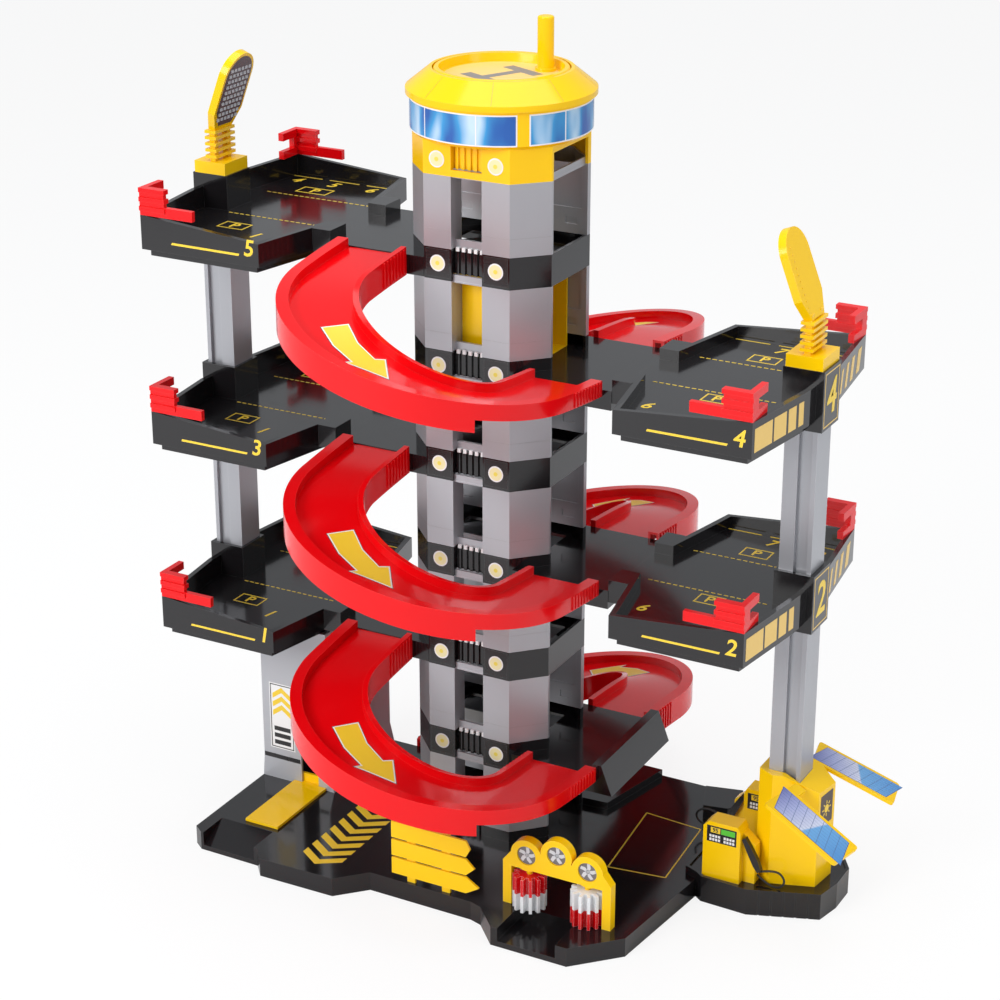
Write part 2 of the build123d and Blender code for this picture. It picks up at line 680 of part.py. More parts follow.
def mast(name, level):
    """Yellow light mast on a sleeve: foot, fins, two posts and a leaning head."""
    side = side_of(level)
    z = floor_z(level) + SLEEVE_UP
    x = side * (SLEEVE_IN_X + SLEEVE_OUT_X) / 2
    long, wide, tall = MAST_BASE
    fins_top = z + tall + MAST_FINS * MAST_FIN_PITCH
    leaning = (side * cos(radians(MAST_LEAN)), 0, sin(radians(MAST_LEAN)))
    lean = Plane((x, 0, fins_top), x_dir=(0, 1, 0), z_dir=leaning)
    neck, half = MAST_NECK_WIDE / 2, MAST_HEAD_WIDE / 2
    shoulder = MAST_HEAD_TALL - half
    outline = [(-neck, 0), (neck, 0), (half, MAST_NECK_TALL), (half, shoulder), (-half, shoulder),
               (-half, MAST_NECK_TALL)]
    with BuildPart() as lamp:
        block(x - long / 2, x + long / 2, -wide / 2, wide / 2, z, z + tall)
        for s in (-1, 1):
            y = s * (MAST_FIN_WIDE / 2 - MAST_POST)
            block(x - MAST_POST / 2, x + MAST_POST / 2, y - MAST_POST / 2, y + MAST_POST / 2, z + tall,
                  fins_top + MAST_FIN_PITCH)
        for i in range(MAST_FINS):
            low = z + tall + (i + 1) * MAST_FIN_PITCH - MAST_FIN_TALL
            block(x - MAST_FIN_DEEP / 2, x + MAST_FIN_DEEP / 2, -MAST_FIN_WIDE / 2, MAST_FIN_WIDE / 2, low,
                  low + MAST_FIN_TALL)
        with BuildSketch(lean) as head:
            Polygon(*[(u, side * v) for u, v in outline], align=None)
            with Locations((0, side * shoulder)):
                Circle(half)
        extrude(head.sketch, amount=MAST_HEAD_THICK / 2, both=True)
    finish(lamp, name)


# ---------------------------------------------------------------- base
def inset_outline(points, amount):
    """Outline moved inwards by a wall's thickness."""
    with BuildSketch(mode=Mode.PRIVATE) as outline:
        Polygon(*points, align=None)
        offset(amount=-amount, kind=Kind.INTERSECTION, mode=Mode.REPLACE)
    return outline.sketch


def base_deck():
    """Black deck: a shell with the car-wash lane, service entry, tower kerb and bench block."""
    with BuildPart() as deck:
        prism(BASE_OUTLINE, 0, DECK_TOP)
        extrude(inset_outline(BASE_OUTLINE, BASE_SKIN), amount=DECK_TOP - BASE_SKIN, mode=Mode.SUBTRACT)
        block(LANE_X0 - WALL, LANE_X1 + WALL, LANE_FRONT, LANE_RISE_END, 0, DECK_TOP)
        lane = [(LANE_FRONT - WALL, LANE_FLOOR), (LANE_FLAT_END, LANE_FLOOR), (LANE_RISE_END, DECK_TOP),
                (LANE_RISE_END, DECK_TOP + WALL), (LANE_FRONT - WALL, DECK_TOP + WALL)]
        prism_yz(lane, LANE_X0, LANE_X1, mode=Mode.SUBTRACT)
        block(ENTRY_X0 - WALL, ENTRY_X1 + WALL, ENTRY_FRONT + WALL, ENTRY_END, 0, DECK_TOP)
        entry = [(ENTRY_FRONT - 2 * WALL, ENTRY_LOW), (ENTRY_FRONT, ENTRY_LOW), (ENTRY_END, DECK_TOP),
                 (ENTRY_END, DECK_TOP + WALL), (ENTRY_FRONT - 2 * WALL, DECK_TOP + WALL)]
        prism_yz(entry, ENTRY_X0, ENTRY_X1, mode=Mode.SUBTRACT)
        prism(BENCH_OUTLINE, DECK_TOP - WALL, DECK_TOP + BENCH_TALL)
        prism(STEP_OUTLINE, DECK_TOP - WALL, DECK_TOP + STEP_TALL)
        prism(octagon(), DECK_TOP - WALL, DECK_TOP + BAND_UP)
        prism(octagon(WALL), DECK_TOP, DECK_TOP + BAND_UP, mode=Mode.SUBTRACT)
        door = TOWER_X + WALL
        block(-door, door, -SIDE_HALF + WALL, SHAFT_BACK, DECK_TOP, DECK_TOP + BAND_UP, mode=Mode.SUBTRACT)
        slot_panel(DECK_TOP, DECK_TOP + BAND_UP, SLOT_RIBS)
        x = CABIN_X + SHAFT_EDGE + WALL
        y0 = -CABIN_FRONT - SHAFT_EDGE - WALL
        block(-x, x, y0, CABIN_BACK + SHAFT_EDGE + WALL, 0, DECK_TOP)
        shaft_hole(PLATE, DECK_TOP)
    finish(deck, "base_deck")


def pump_island():
    """Black island with a raised lip and a skirt grooved like laid blocks."""
    with BuildPart() as island:
        prism(ISLAND_OUTLINE, 0, ISLAND_TOP + ISLAND_LIP)
        extrude(inset_outline(ISLAND_OUTLINE, BASE_SKIN), amount=ISLAND_TOP - BASE_SKIN, mode=Mode.SUBTRACT)
        with BuildSketch(Plane.XY.offset(ISLAND_TOP)) as floor:
            add(inset_outline(ISLAND_OUTLINE, BASE_SKIN))
        extrude(floor.sketch, amount=2 * ISLAND_LIP, mode=Mode.SUBTRACT)
        (x0, y0), (x1, y1) = ISLAND_OUTLINE[3], ISLAND_OUTLINE[4]
        for i in range(1, ISLAND_GROOVES):
            t = i / ISLAND_GROOVES
            with Locations(Location((x0 + (x1 - x0) * t, y0 + (y1 - y0) * t, ISLAND_TOP / 2),
                                    (0, 0, degrees(atan2(y1 - y0, x1 - x0))))):
                Box(ISLAND_GROOVE, ISLAND_GROOVE, 2 * ISLAND_TOP, mode=Mode.SUBTRACT)
    finish(island, "pump_island")


def service_bay():
    """Grey tower that carries platform 1, and the plate that rides up its front."""
    top = floor_z(1) - PLATFORM_DROP - PLATFORM_STEP
    with BuildPart() as tower:
        block(SERVICE_X0, SERVICE_X1, SERVICE_Y0, SERVICE_Y1, DECK_TOP, top)
        foot = [(SERVICE_X0 - SERVICE_FLARE_LEFT, DECK_TOP), (SERVICE_X1 + SERVICE_FLARE, DECK_TOP),
                (SERVICE_X1, DECK_TOP + SERVICE_FOOT), (SERVICE_X0, DECK_TOP + SERVICE_FOOT)]
        prism_xz(foot, SERVICE_Y0, SERVICE_Y1)
        block(SERVICE_X0 + WALL, SERVICE_X1 - WALL, SERVICE_Y0 + WALL, SERVICE_Y1 - WALL, DECK_TOP, top,
              mode=Mode.SUBTRACT)
        mid = (SERVICE_PLATE_X0 + SERVICE_PLATE_X1) / 2
        slot = SERVICE_TAB_WIDE / 2 + SERVICE_GAP
        block(mid - slot, mid + slot, SERVICE_Y0 - WALL, SERVICE_Y0 + 2 * WALL, DECK_TOP, SERVICE_SLOT_TOP,
              mode=Mode.SUBTRACT)
    finish(tower, "service_tower")
    with BuildPart() as plate:
        z = DECK_TOP + FIT_GAP
        block(SERVICE_PLATE_X0, SERVICE_PLATE_X1, SERVICE_PLATE_Y0, SERVICE_Y0 - RUN_GAP, z,
              z + SERVICE_PLATE_THICK)
        half = SERVICE_TAB_WIDE / 2
        block(mid - half, mid + half, SERVICE_PLATE_Y0, SERVICE_Y0 + WALL + RUN_GAP, z,
              z + SERVICE_PLATE_THICK)
        block(mid - SERVICE_TAB_WIDE, mid + SERVICE_TAB_WIDE, SERVICE_Y0 + WALL + RUN_GAP,
              SERVICE_Y0 + 2 * WALL + RUN_GAP, z, z + 4 * SERVICE_PLATE_THICK)
    finish(plate, "service_plate")


def car_wash():
    """Yellow arch with three fan housings, and two toothed rollers that turn on its pins."""
    axis_y = (WASH_Y0 + WASH_Y1) / 2
    pin_low = ROLLER_LOW + ROLLER_TALL - ROLLER_PIN_DEEP
    corner, drop, side_drop = WASH_SHOULDER
    with BuildPart() as arch:
        leg = [(WASH_X0, DECK_TOP), (WASH_X0 + WASH_LEG, DECK_TOP), (WASH_X0 + WASH_LEG, WASH_BEAM),
               (WASH_X1 - WASH_LEG, WASH_BEAM), (WASH_X1 - WASH_LEG, DECK_TOP), (WASH_X1, DECK_TOP),
               (WASH_X1, WASH_TOP - side_drop), (WASH_X1 - corner, WASH_TOP - drop),
               (WASH_X0 + corner, WASH_TOP - drop), (WASH_X0, WASH_TOP - side_drop)]
        prism_xz(leg, WASH_Y0, WASH_Y1)
        for x, z in WASH_FANS:
            with BuildSketch(Plane((0, WASH_Y1, 0), x_dir=(1, 0, 0), z_dir=(0, -1, 0))) as housing:
                with Locations((x, z)):
                    Circle(FAN_HOUSING_R)
            extrude(housing.sketch, amount=WASH_Y1 - WASH_Y0)
            with BuildSketch(Plane((0, WASH_Y0 + FAN_RECESS, 0), x_dir=(1, 0, 0), z_dir=(0, -1, 0))) as eye:
                with Locations((x, z)):
                    Circle(FAN_RECESS_R)
            extrude(eye.sketch, amount=WASH_LEG, mode=Mode.SUBTRACT)
        for x in ROLLER_X:
            disc(x, axis_y, ROLLER_PIN_R, pin_low, WASH_BEAM)
    finish(arch, "wash_arch")
    for name, x in zip(("wash_roller_left", "wash_roller_right"), ROLLER_X):
        with BuildPart() as roller:
            high = ROLLER_LOW + ROLLER_TALL
            disc(x, axis_y, ROLLER_R - 2 * WALL, ROLLER_LOW, high)
            for i in range(ROLLER_TEETH):
                angle = 360 * i / ROLLER_TEETH
                with Locations(Location((x, axis_y, (ROLLER_LOW + high) / 2), (0, 0, angle))):
                    with Locations((ROLLER_R - WALL * 1.5, 0, 0)):
                        Box(3 * WALL, WALL, ROLLER_TALL)
            disc(x, axis_y, ROLLER_PIN_R + SHAFT_CLEARANCE, pin_low - FIT_GAP, high, mode=Mode.SUBTRACT)
        finish(roller, name)


# ---------------------------------------------------------------- island furniture
def pump(name, place, side):
    """Petrol pump: a tall display block and a lower recessed cheek for the nozzle."""
    x, y = place
    low = ISLAND_TOP
    face = [(0, low), (PUMP_FACE, low), (PUMP_FACE, low + PUMP_TALL - PUMP_BEVEL),
            (PUMP_FACE - PUMP_CORNER, low + PUMP_TALL), (PUMP_BEVEL, low + PUMP_TALL),
            (0, low + PUMP_TALL - PUMP_BEVEL)]
    cheek = [(PUMP_FACE - WALL, low), (PUMP_WIDE, low), (PUMP_WIDE, low + PUMP_CHEEK),
             (PUMP_FACE, low + PUMP_SHOULDER), (PUMP_FACE - WALL, low + PUMP_SHOULDER)]
    with BuildPart() as body:
        prism_xz([(x + u, v) for u, v in handed(face, side)], y, y + PUMP_DEEP)
        prism_xz([(x + u, v) for u, v in handed(cheek, side)], y + PUMP_RECESS, y + PUMP_DEEP)
    finish(body, name)


def nozzle(name, place, side):
    """Nozzle that hangs before the pump's cheek."""
    x, y = place
    seat = y + PUMP_RECESS
    profile = [(PUMP_FACE + u, ISLAND_TOP + v) for u, v in NOZZLE_PROFILE]
    with BuildPart() as gun:
        prism_xz([(x + u, v) for u, v in handed(profile, side)], seat - NOZZLE_THICK, seat)
    finish(gun, name)


def hose(name, route):
    """Limp hose: straight runs joined by arcs as large as the runs allow."""
    points = [Vector(*p) for p in route]
    radii = []
    for before, at, after in zip(points, points[1:], points[2:]):
        turn = radians((at - before).get_angle(after - at))
        radii.append(0.45 * min((at - before).length, (after - at).length) / tan(turn / 2))
    print(name, "radii", [round(radius, 1) for radius in radii])
    with BuildPart() as tube:
        with BuildLine() as path:
            FilletPolyline(*points, radius=radii)
        with BuildSketch(Plane(origin=path.line @ 0, z_dir=path.line % 0)) as section:
            Circle(HOSE_R)
        sweep(section.sketch, path=path.line)
    finish(tube, name)


def solar_house():
    """Yellow house round the right column's foot."""
    with BuildPart() as house:
        prism(HOUSE_OUTLINE, ISLAND_TOP, HOUSE_TOP)
        extrude(inset_outline(HOUSE_OUTLINE, HOUSE_SKIN), amount=HOUSE_LOW - HOUSE_SKIN, mode=Mode.SUBTRACT)
        high = HOUSE_TOP + WALL
        far = HOUSE_OUTLINE[2][0]
        prism_xz([(HOUSE_BREAK_X, HOUSE_TOP), (far, HOUSE_LOW), (far, high), (HOUSE_BREAK_X, high)],
                 -SLEEVE_OUT_X, SLEEVE_OUT_X, mode=Mode.SUBTRACT)
        block(COLUMN_X - COLUMN_WIDE / 2 - FIT_GAP, COLUMN_X + COLUMN_WIDE / 2 + FIT_GAP,
              -COLUMN_DEEP / 2 - FIT_GAP, COLUMN_DEEP / 2 + FIT_GAP, ISLAND_TOP, high, mode=Mode.SUBTRACT)
    finish(house, "solar_house")


def solar_panel(name, s):
    """Sloping panel with the tongue that clips into the house's wall."""
    turn, tilt, roll = radians(PANEL_TURN), radians(PANEL_TILT), radians(PANEL_ROLL)
    along = Vector(cos(turn) * cos(tilt), -s * sin(turn) * cos(tilt), -sin(tilt))
    flat = Vector(sin(turn), s * -cos(turn), 0)
    up = flat.cross(along) * (1 if s > 0 else -1)
    inward = flat * cos(roll) + up * sin(roll)
    corner = Vector(PANEL_CORNER[0], -s * PANEL_CORNER[1], PANEL_CORNER[2])
    centre = corner + along * (PANEL_LONG / 2) - inward * (PANEL_WIDE / 2)
    with BuildPart() as plate:
        with BuildSketch(Plane(centre, x_dir=along, z_dir=along.cross(inward))) as face:
            RectangleRounded(PANEL_LONG, PANEL_WIDE, PANEL_THICK)
            with Locations((-PANEL_LONG / 2 + PANEL_TONGUE_WIDE / 2, PANEL_WIDE / 2)):
                Rectangle(PANEL_TONGUE_WIDE, 2 * PANEL_TONGUE)
        extrude(face.sketch, amount=PANEL_THICK / 2, both=True)
    finish(plate, name)


def direction_sign():
    """Yellow sign with three arrow boards on two legs."""
    with BuildPart() as sign:
        top = SIGN_LOW + (SIGN_BOARDS - 1) * SIGN_PITCH + SIGN_BOARD_TALL
        for x in SIGN_LEGS:
            block(x, x + SIGN_LEG, SIGN_Y, SIGN_Y + SIGN_THICK / 2, DECK_TOP, top)
        for i in range(SIGN_BOARDS):
            low = SIGN_LOW + i * SIGN_PITCH
            tip = SIGN_X1 + SIGN_TIP * (1 - i / SIGN_BOARDS)
            board = [(SIGN_X0, low), (SIGN_X1, low), (tip, low + SIGN_BOARD_TALL / 2),
                     (SIGN_X1, low + SIGN_BOARD_TALL), (SIGN_X0, low + SIGN_BOARD_TALL)]
            prism_xz(board, SIGN_Y - SIGN_THICK / 2, SIGN_Y)
    finish(sign, "direction_sign")


if __name__ == "__main__":
    base_deck()
    pump_island()
    for level in range(FLOOR_COUNT + 1):
        storey(level)
    for level in range(FLOOR_COUNT):
        landing_floor(level)
    collar_and_head()
    winding_gear()
    lift_cabin()
    for level in range(1, FLOOR_COUNT):
        platform(level)
        bumpers(level)
    service_bay()
    car_wash()
    for number in range(3):
        start = FLOOR_COUNT - 1 - 2 * number
        ramp(f"ramp_front_{number + 1}", start, False)
        ramp(f"ramp_rear_{number + 1}", start - 1, True)
    seat = SOCKET_DEEP
    column("column_left_lower", -1, floor_z(1) + SLEEVE_UP - seat, floor_z(3) - SLEEVE_DOWN + seat)
    column("column_left_upper", -1, floor_z(3) + SLEEVE_UP - seat, floor_z(5) - SLEEVE_DOWN + seat)
    column("column_right_lower", 1, ISLAND_TOP, floor_z(2) - SLEEVE_DOWN + seat)
    column("column_right_upper", 1, floor_z(2) + SLEEVE_UP - seat, floor_z(4) - SLEEVE_DOWN + seat)
    mast("mast_left", 5)
    mast("mast_right", 4)
    pump("pump_1", PUMP_1, 1)
    pump("pump_2", PUMP_2, -1)
    nozzle("nozzle_1", PUMP_1, 1)
    nozzle("nozzle_2", PUMP_2, -1)
    hose("hose_1", HOSE_1)
    hose("hose_2", HOSE_2)
    solar_house()
    solar_panel("panel_front", -1)
    solar_panel("panel_rear", 1)
    direction_sign()
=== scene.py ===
from math import atan2, cos, pi, radians, sin

import bmesh
import bpy
from mathutils import Matrix, Vector


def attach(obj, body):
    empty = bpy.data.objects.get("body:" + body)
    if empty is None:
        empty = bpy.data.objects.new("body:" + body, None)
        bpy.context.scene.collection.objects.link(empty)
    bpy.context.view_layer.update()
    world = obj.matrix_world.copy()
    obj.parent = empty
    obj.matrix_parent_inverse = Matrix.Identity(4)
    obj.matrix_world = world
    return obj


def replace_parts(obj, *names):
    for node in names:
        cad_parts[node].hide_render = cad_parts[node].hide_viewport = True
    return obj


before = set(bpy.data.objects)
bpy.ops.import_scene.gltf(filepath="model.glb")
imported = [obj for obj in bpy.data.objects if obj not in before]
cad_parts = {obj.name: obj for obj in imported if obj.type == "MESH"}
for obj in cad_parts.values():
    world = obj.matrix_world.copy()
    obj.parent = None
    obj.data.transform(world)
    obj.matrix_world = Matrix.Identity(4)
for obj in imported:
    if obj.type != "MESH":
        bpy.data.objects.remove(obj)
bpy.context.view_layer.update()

# ---- Camera, floor and lamps
# The toy stands on a pale studio table, seen from its right front and a little above, with soft
# lamps before, beside and over it. The white behind it is a colour of the world and the table.
mm = 0.001
lens = bpy.data.cameras.new("camera")
camera = bpy.data.objects.new("camera", lens)
bpy.context.scene.collection.objects.link(camera)
camera.location = (1.0675, -1.9826, 1.2788)
camera.rotation_euler = (radians(67.81), 0.0, radians(28.31))
lens.lens = 88.65
lens.sensor_width = 36.0
lens.shift_x = -0.00125
lens.shift_y = -0.0005
lens.clip_end = 30.0
bpy.context.scene.camera = camera
bpy.context.scene.view_settings.view_transform = "Standard"


def linked(name, mesh):
    """New object for a mesh, in the scene."""
    piece = bpy.data.objects.new(name, mesh)
    bpy.context.scene.collection.objects.link(piece)
    return piece


table_top = bmesh.new()
for x, y in ((-12, -12), (12, -12), (12, 12), (-12, 12)):
    table_top.verts.new((x, y, -0.0006))
table_top.faces.new(table_top.verts)
table_mesh = bpy.data.meshes.new("table")
table_top.to_mesh(table_mesh)
table = linked("table", table_mesh)
table_paper = bpy.data.materials.new("table_paper")
table_paper.use_nodes = True
paper = table_paper.node_tree
paper_skin = paper.nodes["Principled BSDF"]
paper_skin.inputs["Roughness"].default_value = 0.9
paper_skin.inputs["Specular IOR Level"].default_value = 0.1
paper_grain = paper.nodes.new("ShaderNodeTexNoise")
paper_grain.inputs["Scale"].default_value = 9.0
paper_tone = paper.nodes.new("ShaderNodeValToRGB")
paper_tone.color_ramp.elements[0].color = (0.86, 0.86, 0.87, 1)
paper_tone.color_ramp.elements[1].color = (0.90, 0.90, 0.90, 1)
paper.links.new(paper_grain.outputs["Fac"], paper_tone.inputs["Fac"])
paper.links.new(paper_tone.outputs["Color"], paper_skin.inputs["Base Color"])
white_out = paper.nodes.new("ShaderNodeEmission")
paper_mix = paper.nodes.new("ShaderNodeMixShader")
paper_rays = paper.nodes.new("ShaderNodeLightPath")
paper_share = paper.nodes.new("ShaderNodeMath")
paper_share.operation = "MULTIPLY"
paper_share.inputs[1].default_value = 0.86
paper.links.new(paper_rays.outputs["Is Camera Ray"], paper_share.inputs[0])
paper.links.new(paper_share.outputs[0], paper_mix.inputs["Fac"])
paper.links.new(paper_skin.outputs[0], paper_mix.inputs[1])
paper.links.new(white_out.outputs[0], paper_mix.inputs[2])
paper.links.new(paper_mix.outputs[0], paper.nodes["Material Output"].inputs["Surface"])
table_mesh.materials.append(table_paper)

studio = bpy.data.worlds.new("studio")
bpy.context.scene.world = studio
studio.use_nodes = True
room = studio.node_tree
room_light = room.nodes["Background"]
room_light.inputs["Color"].default_value = (0.93, 0.96, 1.0, 1)
room_light.inputs["Strength"].default_value = 0.55
room_white = room.nodes.new("ShaderNodeBackground")
room_white.inputs["Color"].default_value = (1, 1, 1, 1)
room_rays = room.nodes.new("ShaderNodeLightPath")
room_any = room.nodes.new("ShaderNodeMath")
room_any.operation = "MAXIMUM"
room_mix = room.nodes.new("ShaderNodeMixShader")
room.links.new(room_rays.outputs["Is Camera Ray"], room_any.inputs[0])
room.links.new(room_rays.outputs["Is Transmission Ray"], room_any.inputs[1])
room.links.new(room_any.outputs[0], room_mix.inputs["Fac"])
room.links.new(room_light.outputs[0], room_mix.inputs[1])
room.links.new(room_white.outputs[0], room_mix.inputs[2])
room.links.new(room_mix.outputs[0], room.nodes["World Output"].inputs["Surface"])


def soft_box(name, place, aim, size, power):
    """Square soft lamp at a place, pointing at a target."""
    lamp = bpy.data.lights.new(name, "AREA")
    lamp.size = size
    lamp.energy = power
    holder = bpy.data.objects.new(name, lamp)
    bpy.context.scene.collection.objects.link(holder)
    holder.location = place
    holder.rotation_euler = (Vector(aim) - Vector(place)).to_track_quat("-Z", "Y").to_euler()


soft_box("front_box", (-1.0, -2.7, 1.8), (0.0, 0.0, 0.35), 1.5, 62.0)
soft_box("side_box", (2.6, -0.3, 1.5), (0.0, 0.0, 0.35), 1.4, 15.0)
soft_box("top_box", (0.0, 0.2, 3.0), (0.0, 0.0, 0.3), 2.2, 42.0)

# ---- Moulded plastic
# Nearly every part is injection-moulded polystyrene or ABS, dyed through and glossy, with faint
# cloudiness, rub marks, a fine orange peel and paler edges where small hands have worn it.
marks = bpy.data.node_groups.new("handling_marks", "ShaderNodeTree")
for label, kind, value in (("Colour", "NodeSocketColor", (0.5, 0.5, 0.5, 1)),
                           ("Worn Colour", "NodeSocketColor", (0.7, 0.7, 0.7, 1)),
                           ("Gloss", "NodeSocketFloat", 0.2), ("Clouding", "NodeSocketFloat", 0.12),
                           ("Wear", "NodeSocketFloat", 0.5), ("Peel Scale", "NodeSocketFloat", 420.0)):
    socket = marks.interface.new_socket(name=label, in_out="INPUT", socket_type=kind)
    socket.default_value = value
for label, kind in (("Colour", "NodeSocketColor"), ("Roughness", "NodeSocketFloat"),
                    ("Height", "NodeSocketFloat")):
    marks.interface.new_socket(name=label, in_out="OUTPUT", socket_type=kind)
given = marks.nodes.new("NodeGroupInput")
result = marks.nodes.new("NodeGroupOutput")
where = marks.nodes.new("ShaderNodeTexCoord")


def noise_in(tree, scale, detail, place):
    """Noise of one scale on a tree, read at a place socket."""
    node = tree.nodes.new("ShaderNodeTexNoise")
    node.inputs["Detail"].default_value = detail
    if isinstance(scale, float):
        node.inputs["Scale"].default_value = scale
    else:
        tree.links.new(scale, node.inputs["Scale"])
    tree.links.new(place, node.inputs["Vector"])
    return node.outputs["Fac"]


def sum_of(tree, kind, first, second):
    """Math node of a kind on two sockets or numbers."""
    node = tree.nodes.new("ShaderNodeMath")
    node.operation = kind
    for slot_index, value in enumerate((first, second)):
        if isinstance(value, float):
            node.inputs[slot_index].default_value = value
        else:
            tree.links.new(value, node.inputs[slot_index])
    return node.outputs[0]


def blend_of(tree, share, first, second):
    """Colour mix of two sockets or colours by a share."""
    node = tree.nodes.new("ShaderNodeMix")
    node.data_type = "RGBA"
    tree.links.new(share, node.inputs[0])
    for slot_index, value in ((6, first), (7, second)):
        if isinstance(value, tuple):
            node.inputs[slot_index].default_value = value
        else:
            tree.links.new(value, node.inputs[slot_index])
    return node.outputs[2]


cloud = noise_in(marks, 14.0, 3.0, where.outputs["Object"])
rub_turn = marks.nodes.new("ShaderNodeMapping")
rub_turn.inputs["Scale"].default_value = (60.0, 60.0, 900.0)
rub_turn.inputs["Rotation"].default_value = (0.6, 0.4, 0.3)
marks.links.new(where.outputs["Object"], rub_turn.inputs["Vector"])
rubs = sum_of(marks, "SUBTRACT", noise_in(marks, 1.0, 2.0, rub_turn.outputs["Vector"]), 0.62)
rubs = sum_of(marks, "MAXIMUM", sum_of(marks, "MULTIPLY", rubs, 5.0), 0.0)
rounded = marks.nodes.new("ShaderNodeBevel")
rounded.samples = 3
rounded.inputs["Radius"].default_value = 0.7 * mm
facing = marks.nodes.new("ShaderNodeNewGeometry")
edge_dot = marks.nodes.new("ShaderNodeVectorMath")
edge_dot.operation = "DOT_PRODUCT"
marks.links.new(rounded.outputs[0], edge_dot.inputs[0])
marks.links.new(facing.outputs["Normal"], edge_dot.inputs[1])
edge = sum_of(marks, "SUBTRACT", 1.0, edge_dot.outputs["Value"])
edge = sum_of(marks, "MULTIPLY", sum_of(marks, "MULTIPLY", edge, 4.0), given.outputs["Wear"])
edge = sum_of(marks, "MINIMUM", sum_of(marks, "MULTIPLY", edge, sum_of(marks, "ADD", cloud, 0.3)), 1.0)
dark = marks.nodes.new("ShaderNodeHueSaturation")
dark.inputs["Value"].default_value = 0.62
marks.links.new(given.outputs["Colour"], dark.inputs["Color"])
veil = sum_of(marks, "MULTIPLY", cloud, given.outputs["Clouding"])
body_tone = blend_of(marks, veil, given.outputs["Colour"], dark.outputs["Color"])
marks.links.new(blend_of(marks, edge, body_tone, given.outputs["Worn Colour"]), result.inputs["Colour"])
dull = sum_of(marks, "ADD", given.outputs["Gloss"], sum_of(marks, "MULTIPLY", veil, 0.45))
marks.links.new(sum_of(marks, "ADD", dull, sum_of(marks, "MULTIPLY", rubs, 0.10)), result.inputs["Roughness"])
peel = noise_in(marks, given.outputs["Peel Scale"], 2.0, where.outputs["Object"])
height = sum_of(marks, "SUBTRACT", peel, sum_of(marks, "MULTIPLY", rubs, 0.6))
marks.links.new(height, result.inputs["Height"])


def moulding(name, colour, worn, gloss=0.18, clouding=0.14, wear=0.5, metal=0.0, peel_depth=0.06, coat=0.0,
             peel_scale=420.0, shine=0.5):
    """Glossy moulded plastic of one dye."""
    plastic = bpy.data.materials.new(name)
    plastic.use_nodes = True
    tree = plastic.node_tree
    skin = tree.nodes["Principled BSDF"]
    skin.inputs["Metallic"].default_value = metal
    skin.inputs["Specular IOR Level"].default_value = shine
    skin.inputs["Coat Weight"].default_value = coat
    skin.inputs["Coat Roughness"].default_value = 0.08
    group = tree.nodes.new("ShaderNodeGroup")
    group.node_tree = marks
    group.inputs["Colour"].default_value = (*colour, 1)
    group.inputs["Worn Colour"].default_value = (*worn, 1)
    group.inputs["Gloss"].default_value = gloss
    group.inputs["Clouding"].default_value = clouding
    group.inputs["Wear"].default_value = wear
    group.inputs["Peel Scale"].default_value = peel_scale
    tree.links.new(group.outputs["Colour"], skin.inputs["Base Color"])
    tree.links.new(group.outputs["Roughness"], skin.inputs["Roughness"])
    bump = tree.nodes.new("ShaderNodeBump")
    bump.inputs["Strength"].default_value = peel_depth
    bump.inputs["Distance"].default_value = 0.3 * mm
    tree.links.new(group.outputs["Height"], bump.inputs["Height"])
    tree.links.new(bump.outputs["Normal"], skin.inputs["Normal"])
    return plastic


def dress(material, *names):
    """Give CAD nodes a better material in their own slots."""
    for name in names:
        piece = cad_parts[name]
        for holder in piece.material_slots:
            holder.material = material
        if not piece.material_slots:
            piece.data.materials.append(material)


# ---- Filling hoses
# Two thin black rubber hoses run from the nozzles down to the island's deck, turn back over its lip
# and go up into the side of their pumps. Each is one limp cord, 2.2 mm thick.
hose_rubber = moulding("hose_rubber", (0.012, 0.012, 0.013), (0.05, 0.05, 0.05), gloss=0.42, clouding=0.3,
                       peel_depth=0.15, peel_scale=900.0)
hose_radius = 1.1 * mm
hose_routes = (((304.5, -37.5, 43), (314, -37, 46.5), (325, -36, 46.5), (331, -36, 37.5), (324, -36, 28.4),
                (309, -32, 28.4), (298, -28, 33)),
               ((236.5, 39.5, 43), (223, 40, 50), (209, 40, 50), (201, 40, 41), (207, 41, 31),
                (222, 44, 30.5), (243, 48, 34)))
for hose_number, lead_points in enumerate(hose_routes, 1):
    hose_curve = bpy.data.curves.new(f"filling_hose_{hose_number}", "CURVE")
    hose_curve.dimensions = "3D"
    hose_line = hose_curve.splines.new("NURBS")
    hose_line.points.add(len(lead_points) - 1)
    for point, place in zip(hose_line.points, lead_points):
        point.co = (*(Vector(place) * mm), 1.0)
    hose_line.order_u = 3
    hose_line.use_endpoint_u = True
    hose_line.resolution_u = 10
    hose_curve.bevel_depth = hose_radius
    hose_curve.bevel_resolution = 5
    hose_curve.use_fill_caps = True
    hose_curve.materials.append(hose_rubber)
    hose = linked(f"filling_hose_{hose_number}", hose_curve)
    bare = hose_curve.copy()
    bare.bevel_depth = 0.0
    bare_line = linked("bare_line", bare)
    scene_state = bpy.context.evaluated_depsgraph_get()
    traced = bpy.data.meshes.new_from_object(bare_line.evaluated_get(scene_state))
    bpy.data.objects.remove(bare_line)
    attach(hose, "garage")
    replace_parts(hose, f"hose_{hose_number}")

